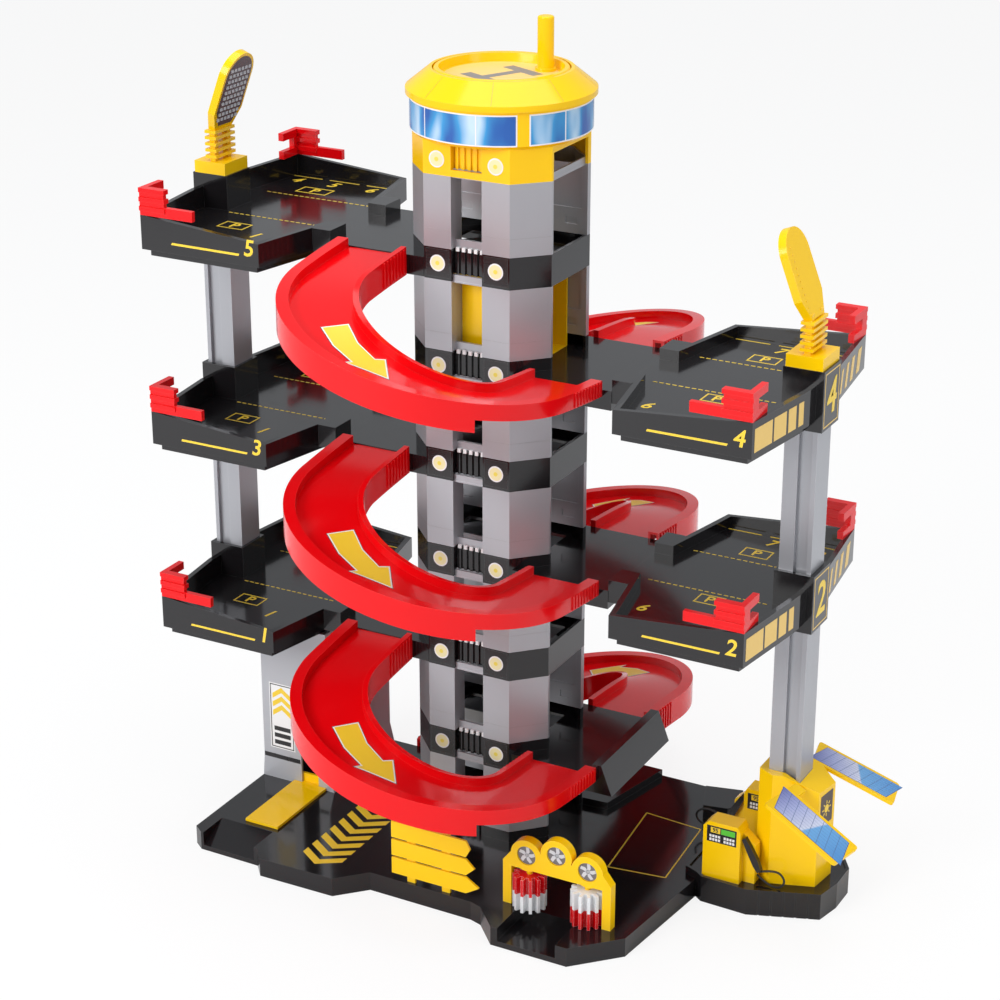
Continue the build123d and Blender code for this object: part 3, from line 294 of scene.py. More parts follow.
# ---- Dyes
# Six dyes cover the whole toy: gloss black floors, silver tower and columns, a grey service tower,
# signal red ramps and bumpers, a white winch spool, and warm yellow for the head and furniture.
black = moulding("black_moulding", (0.009, 0.008, 0.009), (0.09, 0.09, 0.09), gloss=0.10, clouding=0.2,
                 wear=0.35, coat=0.2, shine=0.4)
silver = moulding("silver_moulding", (0.41, 0.415, 0.44), (0.62, 0.62, 0.65), gloss=0.28, metal=0.40,
                  peel_depth=0.10, peel_scale=900.0)
grey = moulding("grey_moulding", (0.46, 0.47, 0.50), (0.66, 0.66, 0.68), gloss=0.26, metal=0.2)
red = moulding("red_moulding", (0.80, 0.002, 0.005), (0.92, 0.08, 0.07), gloss=0.12, clouding=0.12, wear=0.35,
               shine=0.28)
yellow = moulding("yellow_moulding", (0.98, 0.60, 0.002), (1.0, 0.72, 0.12), gloss=0.16, clouding=0.10,
                  wear=0.35, shine=0.3)
white = moulding("white_moulding", (0.82, 0.82, 0.80), (0.95, 0.95, 0.95), gloss=0.25)
dress(black, *[f"floor_{i}" for i in range(6)], *[f"platform_{i}" for i in range(1, 6)], "base_deck",
      "pump_island", "nozzle_1", "nozzle_2")
dress(silver, *[f"storey_{i}" for i in range(7)], *[f"column_{side}_{part}" for side in ("left", "right")
                                                    for part in ("lower", "upper")])
dress(grey, "service_tower")
dress(red, *[f"bumpers_{i}" for i in range(1, 6)])
dress(yellow, "collar", "window_ring", "roof", "helipad", "crank_handle", "lift_cabin", "service_plate",
      "wash_arch", "mast_left", "mast_right", "pump_1", "pump_2", "solar_house", "panel_front", "panel_rear",
      "direction_sign")
dress(white, "winch_spool")

# ---- Printed labels
# Die-cut vinyl labels, a fifth of a millimetre thick, are stuck on flat faces. Each is a real thin
# plate with its own edge, sunk a little into the plastic so that no gap shows.
LABEL_THICK = 0.18
LABEL_SUNK = 0.05
CAPITAL_TO_SIZE = 1.38
STROKE_GAIN = 0.022


def ink(name, colour, gloss=0.33):
    """Printed vinyl of one ink, slightly uneven."""
    scuffed = tuple(min(1.0, c * 0.5 + 0.4) for c in colour)
    return moulding(name, colour, scuffed, gloss=gloss, clouding=0.10, wear=0.135, peel_depth=0.03,
                    peel_scale=1600.0)


label_yellow = ink("label_yellow", (0.90, 0.62, 0.03))
label_amber = ink("label_amber", (0.83, 0.55, 0.14))
label_white = ink("label_white", (0.86, 0.86, 0.86))
label_black = ink("label_black", (0.014, 0.013, 0.014), gloss=0.25)
label_cream = ink("label_cream", (0.86, 0.80, 0.45))
label_lemon = ink("label_lemon", (0.85, 0.72, 0.10))


def seated(piece, body):
    """Let a piece ride on a body."""
    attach(piece, body)
    return piece


def settled(name, work, material, body):
    """Turn a finished build of faces into one piece on a body."""
    mesh = bpy.data.meshes.new(name)
    work.to_mesh(mesh)
    work.free()
    mesh.materials.append(material)
    return seated(linked(name, mesh), body)


def turning(outline):
    """Twice an outline's area, positive where it runs anticlockwise."""
    return sum(u0 * v1 - u1 * v0 for (u0, v0), (u1, v1) in zip(outline, outline[1:] + outline[:1]))


def plates(name, material, body, patches, thick=LABEL_THICK):
    """One mesh of thin plates: each patch is an origin, two directions and an outline, in mm."""
    work = bmesh.new()
    for origin, across, up, outline in patches:
        across, up = Vector(across).normalized(), Vector(up).normalized()
        out = across.cross(up).normalized()
        base = [Vector(origin) + across * u + up * v - out * LABEL_SUNK for u, v in outline]
        if turning(outline) < 0:
            base.reverse()
        low = [work.verts.new(p * mm) for p in base]
        high = [work.verts.new((p + out * (thick + LABEL_SUNK)) * mm) for p in base]
        work.faces.new(high)
        work.faces.new(list(reversed(low)))
        for i in range(len(base)):
            work.faces.new((low[i - 1], low[i], high[i], high[i - 1]))
    return settled(name, work, material, body)


def round_outline(radius, count=28):
    """Circle as an outline."""
    return [(radius * cos(2 * pi * i / count), radius * sin(2 * pi * i / count)) for i in range(count)]


def strip(u0, u1, v0, v1):
    """Rectangle as an outline."""
    return [(u0, v0), (u1, v0), (u1, v1), (u0, v1)]


def border(u0, u1, v0, v1, wide):
    """Four strips that frame a rectangle."""
    return [strip(u0, u1, v0, v0 + wide), strip(u0, u1, v1 - wide, v1),
            strip(u0, u0 + wide, v0 + wide, v1 - wide), strip(u1 - wide, u1, v0 + wide, v1 - wide)]


def numerals(name, material, body, words, thick=LABEL_THICK):
    """One mesh of plain figures: each word is text, height, slant, origin and two directions, in mm."""
    work = bmesh.new()
    for text, tall, slant, origin, across, up in words:
        across, up = Vector(across).normalized(), Vector(up).normalized()
        out = across.cross(up).normalized()
        letters = bpy.data.curves.new("letters", "FONT")
        letters.body = text
        letters.align_x = "CENTER"
        letters.align_y = "CENTER"
        letters.size = tall * CAPITAL_TO_SIZE
        letters.offset = tall * STROKE_GAIN
        letters.shear = slant
        letters.extrude = thick / 2
        letters.resolution_u = 3
        holder = linked("letters", letters)
        scene_state = bpy.context.evaluated_depsgraph_get()
        flat = bpy.data.meshes.new_from_object(holder.evaluated_get(scene_state))
        bpy.data.objects.remove(holder)
        centre = Vector(origin) + out * (thick / 2)
        turn = Matrix((across, up, out)).transposed().to_4x4()
        flat.transform(Matrix.Scale(mm, 4) @ Matrix.Translation(centre) @ turn)
        work.from_mesh(flat)
        bpy.data.meshes.remove(flat)
    bmesh.ops.remove_doubles(work, verts=work.verts, dist=1e-6)
    return settled(name, work, material, body)


# ---- Rows of blocks
# Ribs, painted highlight blocks on the grilles, dashes and keys are small equal blocks set out
# along a line. One node tree spaces them on each spline of a curve and keeps them upright.
row_tree = bpy.data.node_groups.new("row_of_blocks", "GeometryNodeTree")
for label, direction, kind in (("Geometry", "INPUT", "Geometry"), ("Count", "INPUT", "Int"),
                               ("Block Size", "INPUT", "Vector"), ("Finish", "INPUT", "Material"),
                               ("Geometry", "OUTPUT", "Geometry")):
    row_tree.interface.new_socket(name=label, in_out=direction, socket_type="NodeSocket" + kind)
row_in = row_tree.nodes.new("NodeGroupInput")
row_out = row_tree.nodes.new("NodeGroupOutput")
row_points = row_tree.nodes.new("GeometryNodeCurveToPoints")
row_turn = row_tree.nodes.new("FunctionNodeAlignRotationToVector")
row_turn.axis = "X"
row_turn.pivot_axis = "Z"
row_block = row_tree.nodes.new("GeometryNodeMeshCube")
row_set = row_tree.nodes.new("GeometryNodeInstanceOnPoints")
row_real = row_tree.nodes.new("GeometryNodeRealizeInstances")
row_paint = row_tree.nodes.new("GeometryNodeSetMaterial")
for source, target in ((row_in.outputs["Geometry"], row_points.inputs["Curve"]),
                       (row_in.outputs["Count"], row_points.inputs["Count"]),
                       (row_points.outputs["Tangent"], row_turn.inputs["Vector"]),
                       (row_in.outputs["Block Size"], row_block.inputs["Size"]),
                       (row_points.outputs["Points"], row_set.inputs["Points"]),
                       (row_block.outputs["Mesh"], row_set.inputs["Instance"]),
                       (row_turn.outputs["Rotation"], row_set.inputs["Rotation"]),
                       (row_set.outputs["Instances"], row_real.inputs["Geometry"]),
                       (row_real.outputs["Geometry"], row_paint.inputs["Geometry"]),
                       (row_in.outputs["Finish"], row_paint.inputs["Material"]),
                       (row_paint.outputs["Geometry"], row_out.inputs["Geometry"])):
    row_tree.links.new(source, target)


def rows(name, material, body, lines, count, size, bevel=0.0):
    """Equal blocks along each line of points, in mm, as one mesh."""
    track = bpy.data.curves.new(name, "CURVE")
    track.dimensions = "3D"
    for line in lines:
        spline = track.splines.new("POLY")
        spline.points.add(len(line) - 1)
        for point, place in zip(spline.points, line):
            point.co = (*(Vector(place) * mm), 1.0)
    holder = linked(name + "_track", track)
    maker = holder.modifiers.new("rows", "NODES")
    maker.node_group = row_tree
    sockets = {item.name: item.identifier for item in row_tree.interface.items_tree if item.in_out == "INPUT"}
    maker[sockets["Count"]] = count
    maker[sockets["Block Size"]] = tuple(Vector(size) * mm)
    maker[sockets["Finish"]] = material
    scene_state = bpy.context.evaluated_depsgraph_get()
    mesh = bpy.data.meshes.new_from_object(holder.evaluated_get(scene_state))
    bpy.data.objects.remove(holder)
    mesh.name = name
    piece = linked(name, mesh)
    if bevel:
        soften = piece.modifiers.new("soften", "BEVEL")
        soften.width = bevel * mm
        soften.segments = 2
    return seated(piece, body)


# ---- Tower front
# Every black band carries a ribbed grille between two round lamps. The lamps are white rings with
# a lemon centre, and a row of white blocks on top of each grille is a painted highlight on the rib tops.
FLOOR_PITCH = 100.0
DECK_Z = 20.0
FRONT_HALF, FRONT_Y = 45.2, -68.7
SIDE_X, SIDE_HALF = 73.6, 39.5
DOOR_HALF = 16.5
GRILLE_Y = -60.7
GRILLE_HALF = 12.8
LAMP_X, LAMP_DROP = 30.7, 3.0
COLLAR_LAMP_Z = 716.0
SEAM_Z = 49.5
SEAM_INSET, SEAM_HALF = 0.3, 0.25
ACROSS = (1, 0, 0)
AWAY = (0, 1, 0)
UP = (0, 0, 1)


def floor_z(level):
    """Height of a numbered floor's top, in mm."""
    return DECK_Z + (level + 1) * FLOOR_PITCH


band_lamps = [(side * LAMP_X, FRONT_Y, floor_z(level) - LAMP_DROP) for level in range(6) for side in (-1, 1)]
all_lamps = band_lamps + [(side * LAMP_X, FRONT_Y, COLLAR_LAMP_Z) for side in (-1, 1)]
plates("lamp_fields", label_black, "garage",
       [(c, ACROSS, UP, strip(-12.5, 12.5, -13.5, 13.5)) for c in band_lamps])
plates("lamp_rings", label_white, "garage",
       [(c, ACROSS, UP, round_outline(8.0)) for c in all_lamps], thick=0.45)
plates("lamp_lenses", label_cream, "garage",
       [(c, ACROSS, UP, round_outline(6.6)) for c in all_lamps], thick=0.60)
plates("lamp_cores", label_lemon, "garage",
       [(c, ACROSS, UP, round_outline(2.2, count=16)) for c in all_lamps], thick=0.75)
# Painted highlight: these white blocks stand in for the light caught on the grille rib tops.
highlight_block_lines = [[(x, GRILLE_Y - 1.0, floor_z(level) + 11.0) for x in (-GRILLE_HALF, GRILLE_HALF)]
               for level in range(6)]
rows("grille_highlight_blocks", label_white, "garage", highlight_block_lines, 5, (3.6, 2.6, 4.0), bevel=0.3)
right_run = Vector((SIDE_X - FRONT_HALF, -SIDE_HALF - FRONT_Y, 0))
left_run = Vector((right_run.x, -right_run.y, 0))
chamfer_line = strip(SEAM_INSET, right_run.length - SEAM_INSET, -SEAM_HALF, SEAM_HALF)
panel_line = strip(0, 45.0 - DOOR_HALF, -SEAM_HALF, SEAM_HALF)
seams = []
for z in [SEAM_Z + FLOOR_PITCH * storey for storey in range(7)]:
    seams.append(((FRONT_HALF, FRONT_Y, z), right_run, UP, chamfer_line))
    seams.append(((-SIDE_X, -SIDE_HALF, z), left_run, UP, chamfer_line))
    seams += [((x, FRONT_Y, z), ACROSS, UP, panel_line) for x in (-45.0, DOOR_HALF)]
seam_grey = moulding("seam_grey", (0.30, 0.30, 0.32), (0.5, 0.5, 0.5), gloss=0.35, metal=0.3)
plates("storey_seams", seam_grey, "garage", seams, thick=0.10)

# ---- Ramps
# Each ramp is a red U-shaped channel that falls one floor in its half turn: a moulded shell with an
# open underside, hollow rims and a skirt that is cut back before the lower landing.
RAMP_R = 103.0
RAMP_END = 66.8
RAMP_RUN = 67.8
RAMP_ARC = pi * RAMP_R
RAMP_TOTAL = 2 * RAMP_RUN + RAMP_ARC
RAMP_HALF, RAMP_LIP = 37.5, 8.5
RAMP_STEP, RAMP_REST = 1.3, 1.6
RAMP_EASE = 0.55
RIM_OUT, RIM_IN = 11.5, 5.5
SHELL = 2.5
DEEP_SKIRT, SHORT_SKIRT = 18.7, 6.8
SKIRT_CUT = 0.75
ramp_starts = ((5, False), (3, False), (1, False), (4, True), (2, True), (0, True))


def ramp_point(share, out, top, rear):
    """Point on a ramp's floor at a share of its length, moved outwards, in mm."""
    length = share * RAMP_TOTAL
    if length < RAMP_RUN:
        place = Vector((-RAMP_R, -RAMP_END - length)) + out * Vector((-1, 0))
    elif length < RAMP_RUN + RAMP_ARC:
        angle = pi + (length - RAMP_RUN) / RAMP_R
        ray = Vector((cos(angle), sin(angle)))
        place = Vector((0, -RAMP_END - RAMP_RUN)) + (RAMP_R + out) * ray
    else:
        place = Vector((RAMP_R, -RAMP_END - RAMP_TOTAL + length)) + out * Vector((1, 0))
    fallen = share - RAMP_EASE * sin(2 * pi * share) / (2 * pi)
    z = top - RAMP_STEP - (FLOOR_PITCH - RAMP_REST) * fallen
    if rear:
        place = -place
    return Vector((place.x, place.y, z))


def channel(name, top, rear):
    """Smooth channel shell with rounded edges that follows the ramp's line."""
    cut = (RAMP_RUN + RAMP_ARC * SKIRT_CUT) / RAMP_TOTAL
    curve_start, curve_end = RAMP_RUN / RAMP_TOTAL, 1 - RAMP_RUN / RAMP_TOTAL
    shares = [(curve_start * i / 8, DEEP_SKIRT) for i in range(8)]
    shares += [(curve_start + (cut - curve_start) * i / 42, DEEP_SKIRT) for i in range(43)]
    shares += [(cut + 0.0002 + (curve_end - cut) * i / 14, SHORT_SKIRT) for i in range(14)]
    shares += [(curve_end + curve_start * i / 8, SHORT_SKIRT) for i in range(9)]
    rim_out, rim_in = RAMP_HALF - RIM_OUT, -RAMP_HALF + RIM_IN
    work = bmesh.new()
    rings = []
    for share, skirt in shares:
        section = [(-RAMP_HALF, -skirt), (-RAMP_HALF, RAMP_LIP), (rim_in, RAMP_LIP), (rim_in, 0),
                   (rim_out, 0), (rim_out, RAMP_LIP), (RAMP_HALF, RAMP_LIP), (RAMP_HALF, -skirt),
                   (RAMP_HALF - SHELL, -skirt), (RAMP_HALF - SHELL, RAMP_LIP - SHELL),
                   (rim_out + SHELL, RAMP_LIP - SHELL), (rim_out + SHELL, -SHELL),
                   (-RAMP_HALF + SHELL, -SHELL), (-RAMP_HALF + SHELL, -skirt)]
        rings.append([work.verts.new((ramp_point(share, u, top, rear) + Vector((0, 0, v))) * mm)
                      for u, v in section])
    for before, after in zip(rings, rings[1:]):
        for k in range(len(before)):
            work.faces.new((before[k - 1], before[k], after[k], after[k - 1]))
    work.faces.new(rings[0])
    work.faces.new(list(reversed(rings[-1])))
    bmesh.ops.recalc_face_normals(work, faces=work.faces)
    mesh = bpy.data.meshes.new(name)
    work.to_mesh(mesh)
    work.free()
    mesh.shade_smooth()
    mesh.set_sharp_from_angle(angle=radians(35))
    mesh.materials.append(red)
    piece = linked(name, mesh)
    soften = piece.modifiers.new("soften", "BEVEL")
    soften.width = 0.6 * mm
    soften.segments = 2
    soften.limit_method = "ANGLE"
    soften.angle_limit = radians(40)
    soften.harden_normals = True
    return seated(piece, "garage")


for index, (start_level, rear) in enumerate(ramp_starts):
    node = f"ramp_{'rear' if rear else 'front'}_{index % 3 + 1}"
    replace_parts(channel(f"channel_{node[5:]}", floor_z(start_level), rear), node)

# ---- Ramp arrows and ribs
# A yellow arrow with a white rim and a black edge shows the way down on each ramp's floor, and
# short upright ribs stiffen the walls beside both landings.


def share_at(x, y, rear):
    """Share of a ramp's length beside a point of the plan."""
    if rear:
        x, y = -x, -y
    rise = y + RAMP_END + RAMP_RUN
    if rise > 0:
        length = -RAMP_END - y if x < 0 else RAMP_TOTAL + y + RAMP_END
    else:
        length = RAMP_RUN + RAMP_R * ((atan2(rise, x) - pi) % (2 * pi))
    return length / RAMP_TOTAL


def grown(outline, amount):
    """Outline moved outwards by an amount."""
    count = len(outline)
    side = 1 if turning(outline) > 0 else -1
    moved = []
    for i in range(count):
        before, here, after = (Vector(outline[k % count]) for k in (i - 1, i, i + 1))
        one, two = (here - before).normalized(), (after - here).normalized()
        first, second = Vector((one.y, -one.x)) * side, Vector((two.y, -two.x)) * side
        bisect = (first + second).normalized()
        moved.append(tuple(here + bisect * amount / max(0.45, bisect.dot(first))))
    return moved


def floor_arrow(name, material, layers, up):
    """Arrows laid on the ramps' curved floors: each layer is a plan outline, a top height and a side."""
    work = bmesh.new()
    for outline, top, rear in layers:
        patch = bmesh.new()
        ring = [patch.verts.new((x, y, 0)) for x, y in outline]
        face = patch.faces.new(ring)
        face.normal_update()
        if face.normal.z < 0:
            face.normal_flip()
        bmesh.ops.triangulate(patch, faces=patch.faces[:])
        bmesh.ops.subdivide_edges(patch, edges=patch.edges[:], cuts=7, use_grid_fill=True)
        for v in patch.verts:
            v.co.z = ramp_point(share_at(v.co.x, v.co.y, rear), 0, top, rear).z + up
        grown_up = bmesh.ops.extrude_face_region(patch, geom=patch.faces[:])
        for v in grown_up["geom"]:
            if isinstance(v, bmesh.types.BMVert):
                v.co.z += LABEL_THICK
        bmesh.ops.recalc_face_normals(patch, faces=patch.faces)
        for v in patch.verts:
            v.co *= mm
        part = bpy.data.meshes.new("part")
        patch.to_mesh(part)
        patch.free()
        work.from_mesh(part)
        bpy.data.meshes.remove(part)
    return settled(name, work, material, "garage")


ARROW = ((0.352, 1.7), (0.354, -21.8), (0.42, -17.0), (0.483, -13.5), (0.496, -21.9), (0.534, 4.7),
         (0.462, 13.5), (0.467, 7.9), (0.41, 5.0))
arrow_plans = []
for start_level, rear in ramp_starts:
    top = floor_z(start_level)
    plan = [ramp_point(share, out, top, rear).xy[:] for share, out in ARROW]
    arrow_plans.append((plan, top, rear))
for name, material, slot_name, wider, up in (("ramp_arrow_edges", label_black, "black_plastic", 1.9, 0.05),
                                             ("ramp_arrow_rims", label_white, "white_plastic", 1.3, 0.20)):
    layers = [(grown(plan, wider), top, rear) for plan, top, rear in arrow_plans]
    floor_arrow(name, material, layers, up)
floor_arrow("ramp_arrows", label_yellow, arrow_plans, 0.35)

start_ribs, end_ribs = [], []
for start_level, rear in ramp_starts:
    top = floor_z(start_level)
    for out in (-RAMP_HALF - 0.2, RAMP_HALF + 0.2):
        start_ribs.append([ramp_point(s, out, top - 4.5, rear) for s in (0.012, 0.03, 0.05, 0.07, 0.09)])
        end_ribs.append([ramp_point(s, out, top + 1.2, rear) for s in (0.88, 0.91, 0.94, 0.97, 0.988)])
rows("ramp_ribs_high", red, "garage", start_ribs, 7, (3.0, 2.4, 24.0), bevel=0.6)
rows("ramp_ribs_low", red, "garage", end_ribs, 9, (3.0, 2.4, 14.0), bevel=0.6)

# ---- Window band
# Three long vinyl labels round the yellow drum show blue office glass behind white frames, with a
# bare yellow pillar between each two. The glass is a soft blue sky print with plain panes.
DRUM_R = 85.4
BAND_LOW, BAND_HIGH = 736.5, 765.5
BAND_STARTS = (-164.8, -44.7, 75.4)
BAND_TURN = 112.5


def curved_label(name, material, spans, reach):
    """Plates bent round the drum: each span is two angles in degrees and two heights in mm."""
    work = bmesh.new()
    for a0, a1, z0, z1 in spans:
        steps = max(2, int((a1 - a0) / 2.5))
        rings = []
        for i in range(steps + 1):
            angle = radians(a0 + (a1 - a0) * i / steps)
            ray = Vector((cos(angle), sin(angle), 0))
            near, far = ray * (DRUM_R - 0.2), ray * (DRUM_R + reach)
            rings.append([work.verts.new((p + Vector((0, 0, z))) * mm)
                          for p, z in ((near, z0), (far, z0), (far, z1), (near, z1))])
        for before, after in zip(rings, rings[1:]):
            for k in range(4):
                work.faces.new((before[k], after[k], after[(k + 1) % 4], before[(k + 1) % 4]))
        work.faces.new(rings[0])
        work.faces.new(list(reversed(rings[-1])))
    bmesh.ops.recalc_face_normals(work, faces=work.faces)
    return settled(name, work, material, "garage")


def tint(tree, colour):
    """Feed a changing colour into the marks of a moulding's node tree."""
    group = next(node for node in tree.nodes if node.type == "GROUP")
    tree.links.new(colour, group.inputs["Colour"])


window_print = moulding("window_print", (0.05, 0.22, 0.60), (0.7, 0.8, 0.9), gloss=0.16, clouding=0.05,
                        wear=0.1)
panes = window_print.node_tree
pane_place = panes.nodes.new("ShaderNodeTexCoord")
pane_sky = panes.nodes.new("ShaderNodeTexNoise")
pane_sky.inputs["Scale"].default_value = 38.0
pane_sky.inputs["Detail"].default_value = 1.5
pane_tilt = panes.nodes.new("ShaderNodeMapping")
pane_tilt.inputs["Scale"].default_value = (1.0, 1.0, 0.35)
pane_ramp = panes.nodes.new("ShaderNodeValToRGB")
pane_ramp.color_ramp.elements[0].position = 0.36
pane_ramp.color_ramp.elements[0].color = (0.020, 0.11, 0.42, 1)
pane_ramp.color_ramp.elements[1].position = 0.66
pane_ramp.color_ramp.elements[1].color = (0.55, 0.74, 0.90, 1)
pane_mid = pane_ramp.color_ramp.elements.new(0.50)
pane_mid.color = (0.045, 0.32, 0.66, 1)
panes.links.new(pane_place.outputs["Object"], pane_tilt.inputs["Vector"])
panes.links.new(pane_tilt.outputs["Vector"], pane_sky.inputs["Vector"])
panes.links.new(pane_sky.outputs["Fac"], pane_ramp.inputs["Fac"])
tint(panes, pane_ramp.outputs["Color"])
curved_label("window_frames", label_white,
             [(a, a + BAND_TURN, BAND_LOW, BAND_HIGH) for a in BAND_STARTS], 0.25)
curved_label("window_glass", window_print,
             [(a + 0.9, a + BAND_TURN - 0.9, BAND_LOW + 1.3, BAND_HIGH - 1.3) for a in BAND_STARTS], 0.37)
MULLION_R, MULLION_TURN = DRUM_R + 0.25, 77.6
MULLION_Z = (BAND_LOW + BAND_HIGH) / 2
mullion_arcs = []
for start, first in zip(BAND_STARTS, (9.7, 25.4, 25.4)):
    angles = [radians(start + first + MULLION_TURN * i / 40) for i in range(41)]
    mullion_arcs.append([(MULLION_R * cos(a), MULLION_R * sin(a), MULLION_Z) for a in angles])
rows("window_mullions", label_white, "garage", mullion_arcs, 3, (1.1, 0.7, 26.8))

# ---- Roof and helipad
# The cone is one moulding with eight shallow seams. The turning disc carries a pale round label
# with a grey landing letter, and leaves room for the crank rod that stands at its edge.
RIM_R, RIM_Z = 89.5, 774.1
MOUTH_R, MOUTH_Z = 67.5, 791.8
roof_seam = moulding("roof_seam", (0.62, 0.32, 0.004), (0.9, 0.6, 0.1), gloss=0.3)
seam_patches = []
for k in range(8):
    angle = radians(-68 + 45 * k)
    ray, round_about = Vector((cos(angle), sin(angle), 0)), Vector((-sin(angle), cos(angle), 0))
    low_point = ray * (RIM_R - 0.6) + Vector((0, 0, RIM_Z + 0.5))
    rise = ray * (MOUTH_R + 0.6) + Vector((0, 0, MOUTH_Z - 0.5)) - low_point
    seam_patches.append((low_point, round_about, rise, strip(-0.3, 0.3, 0, rise.length)))
plates("roof_seams", roof_seam, "garage", seam_patches, thick=0.08)
PAD_R, PAD_Z = 54.0, 784.1
CRANK_FOOT, CRANK_CLEAR = Vector((28, 34)), 11.0
pad_across, pad_up = Vector((0.9, -0.43, 0)).normalized(), Vector((0.43, 0.9, 0)).normalized()
pad_centre = (0, 0, PAD_Z)
pad_outline = [(u, v) for u, v in round_outline(PAD_R, count=64)
               if (pad_across.xy * u + pad_up.xy * v - CRANK_FOOT).length > CRANK_CLEAR]
pad_label = ink("pad_label", (0.93, 0.62, 0.20))
plates("pad_disc", pad_label, "winding_gear",
       [(pad_centre, pad_across, pad_up, pad_outline)])
pad_letter = ink("pad_letter", (0.23, 0.22, 0.22))
letter_bars = (strip(-23.5, 23.5, -30.5, -18.5), strip(-23.5, 23.5, 18.5, 30.5), strip(-5, 5, -18.5, 18.5))
plates("pad_letter", pad_letter, "winding_gear",
       [(pad_centre, pad_across, pad_up, bar) for bar in letter_bars], thick=0.34)

# ---- Platform markings
# Each parking tray has yellow vinyl: broken bay lines, a boxed parking letter, small bay numbers,
# its floor number over a rule on the front wall, and blocks that narrow towards the outer sleeve.
TRAY_Y = 137.2
CORNER_X, WAIST_X, WAIST_Y = 318.6, 331.0, 35.0
SLEEVE_X = 338.0
BLOCK_TALL, BLOCK_LEAN = 22, 7
LEFT_PLACES = {"numbers": ((-302, 112, "4"), (-258, 112, "5"), (-213, 112, "6"), (-226, -82, "1"),
                           (-290, -112, "2")),
               "boxes": ((-262, 84, 36), (-262, -62, 30)), "wall end": -196.0}
RIGHT_PLACES = {"numbers": ((242, 112, "7"), (292, 108, "8"), (194, -86, "6"), (284, -112, "5")),
                "boxes": ((239, 82, 30), (243, -40, 26)), "wall end": 306.0}
bay_lines, rear_lines, marks_flat, walls, rules, badges = [], [], [], [], [], []
figures = []
for level in range(1, 6):
    side = -1 if level % 2 else 1
    z = floor_z(level)
    places = RIGHT_PLACES if side > 0 else LEFT_PLACES
    for x0, x1, y in ((174, 292, -24), (184, 302, 60)):
        bay_lines.append([Vector((side * x, y, z + 0.1)) for x in (x0, x1)])
    rear_lines.append([Vector((side * x, 127, z + 0.1)) for x in (208, 298)])
    for x, y, number in places["numbers"]:
        figures.append((number, 15.0, 0.25, Vector((x, y, z)), ACROSS, AWAY))
    for x, y, wide in places["boxes"]:
        box_centre = Vector((x, y, z))
        marks_flat += [(box_centre, ACROSS, AWAY, o) for o in border(-wide / 2, wide / 2, -10, 10, 1.5)]
        figures.append(("P", 13.0, 0.0, box_centre, ACROSS, AWAY))
    figures.append((str(level), 16.5, 0.18, (places["wall end"], -TRAY_Y, z + 5), ACROSS, UP))
    wall_foot = Vector((places["wall end"], -TRAY_Y, z - 3.2))
    rules.append((wall_foot, ACROSS, UP, [(-88, 0), (-11, 0), (-10, 2.2), (-87, 2.2)]))
    front_start = Vector((side * CORNER_X, -TRAY_Y, z - 7))
    front_run = Vector((side * WAIST_X, -WAIST_Y, z - 7)) - front_start
    back_start = Vector((side * WAIST_X, WAIST_Y, z - 7))
    back_run = Vector((side * CORNER_X, TRAY_Y, z - 7)) - back_start
    blocks = [(front_start + front_run * share, front_run, wide, 0)
              for share, wide in ((0.04, 31.0), (0.37, 22.0), (0.62, 14.0), (0.80, 9.0))]
    blocks += [(back_start + back_run * share, back_run, wide, BLOCK_LEAN)
               for share, wide in ((0.06, 6.0), (0.24, 8.0), (0.43, 10.0), (0.66, 13.0))]
    for at, run, wide, lean in blocks:
        outline = [(0, 0), (wide, 0), (wide + lean, BLOCK_TALL), (lean, BLOCK_TALL)]
        walls.append((at, run * side, UP, [(side * u, v) for u, v in outline]))
    badge = Vector((side * SLEEVE_X, 0, z + 5.0))
    badges += [(badge, (0, side, 0), UP, o) for o in border(-17.5, 17.5, -25.0, 27.0, 1.2)]
    figures.append((str(level), 34.0, 0.1, badge, (0, side, 0), UP))
bay_yellow = ink("bay_yellow", (0.80, 0.55, 0.03))
rows("bay_dashes", bay_yellow, "garage", bay_lines, 19, (4.4, 1.3, 0.3))
rows("bay_ends", bay_yellow, "garage", rear_lines, 3, (36.0, 1.5, 0.3))
plates("bay_boxes", bay_yellow, "garage", marks_flat)
plates("wall_blocks", label_amber, "garage", walls)
plates("wall_rules", label_yellow, "garage", rules)
plates("sleeve_badges", label_amber, "garage", badges)
numerals("floor_numbers", label_yellow, "garage", figures)

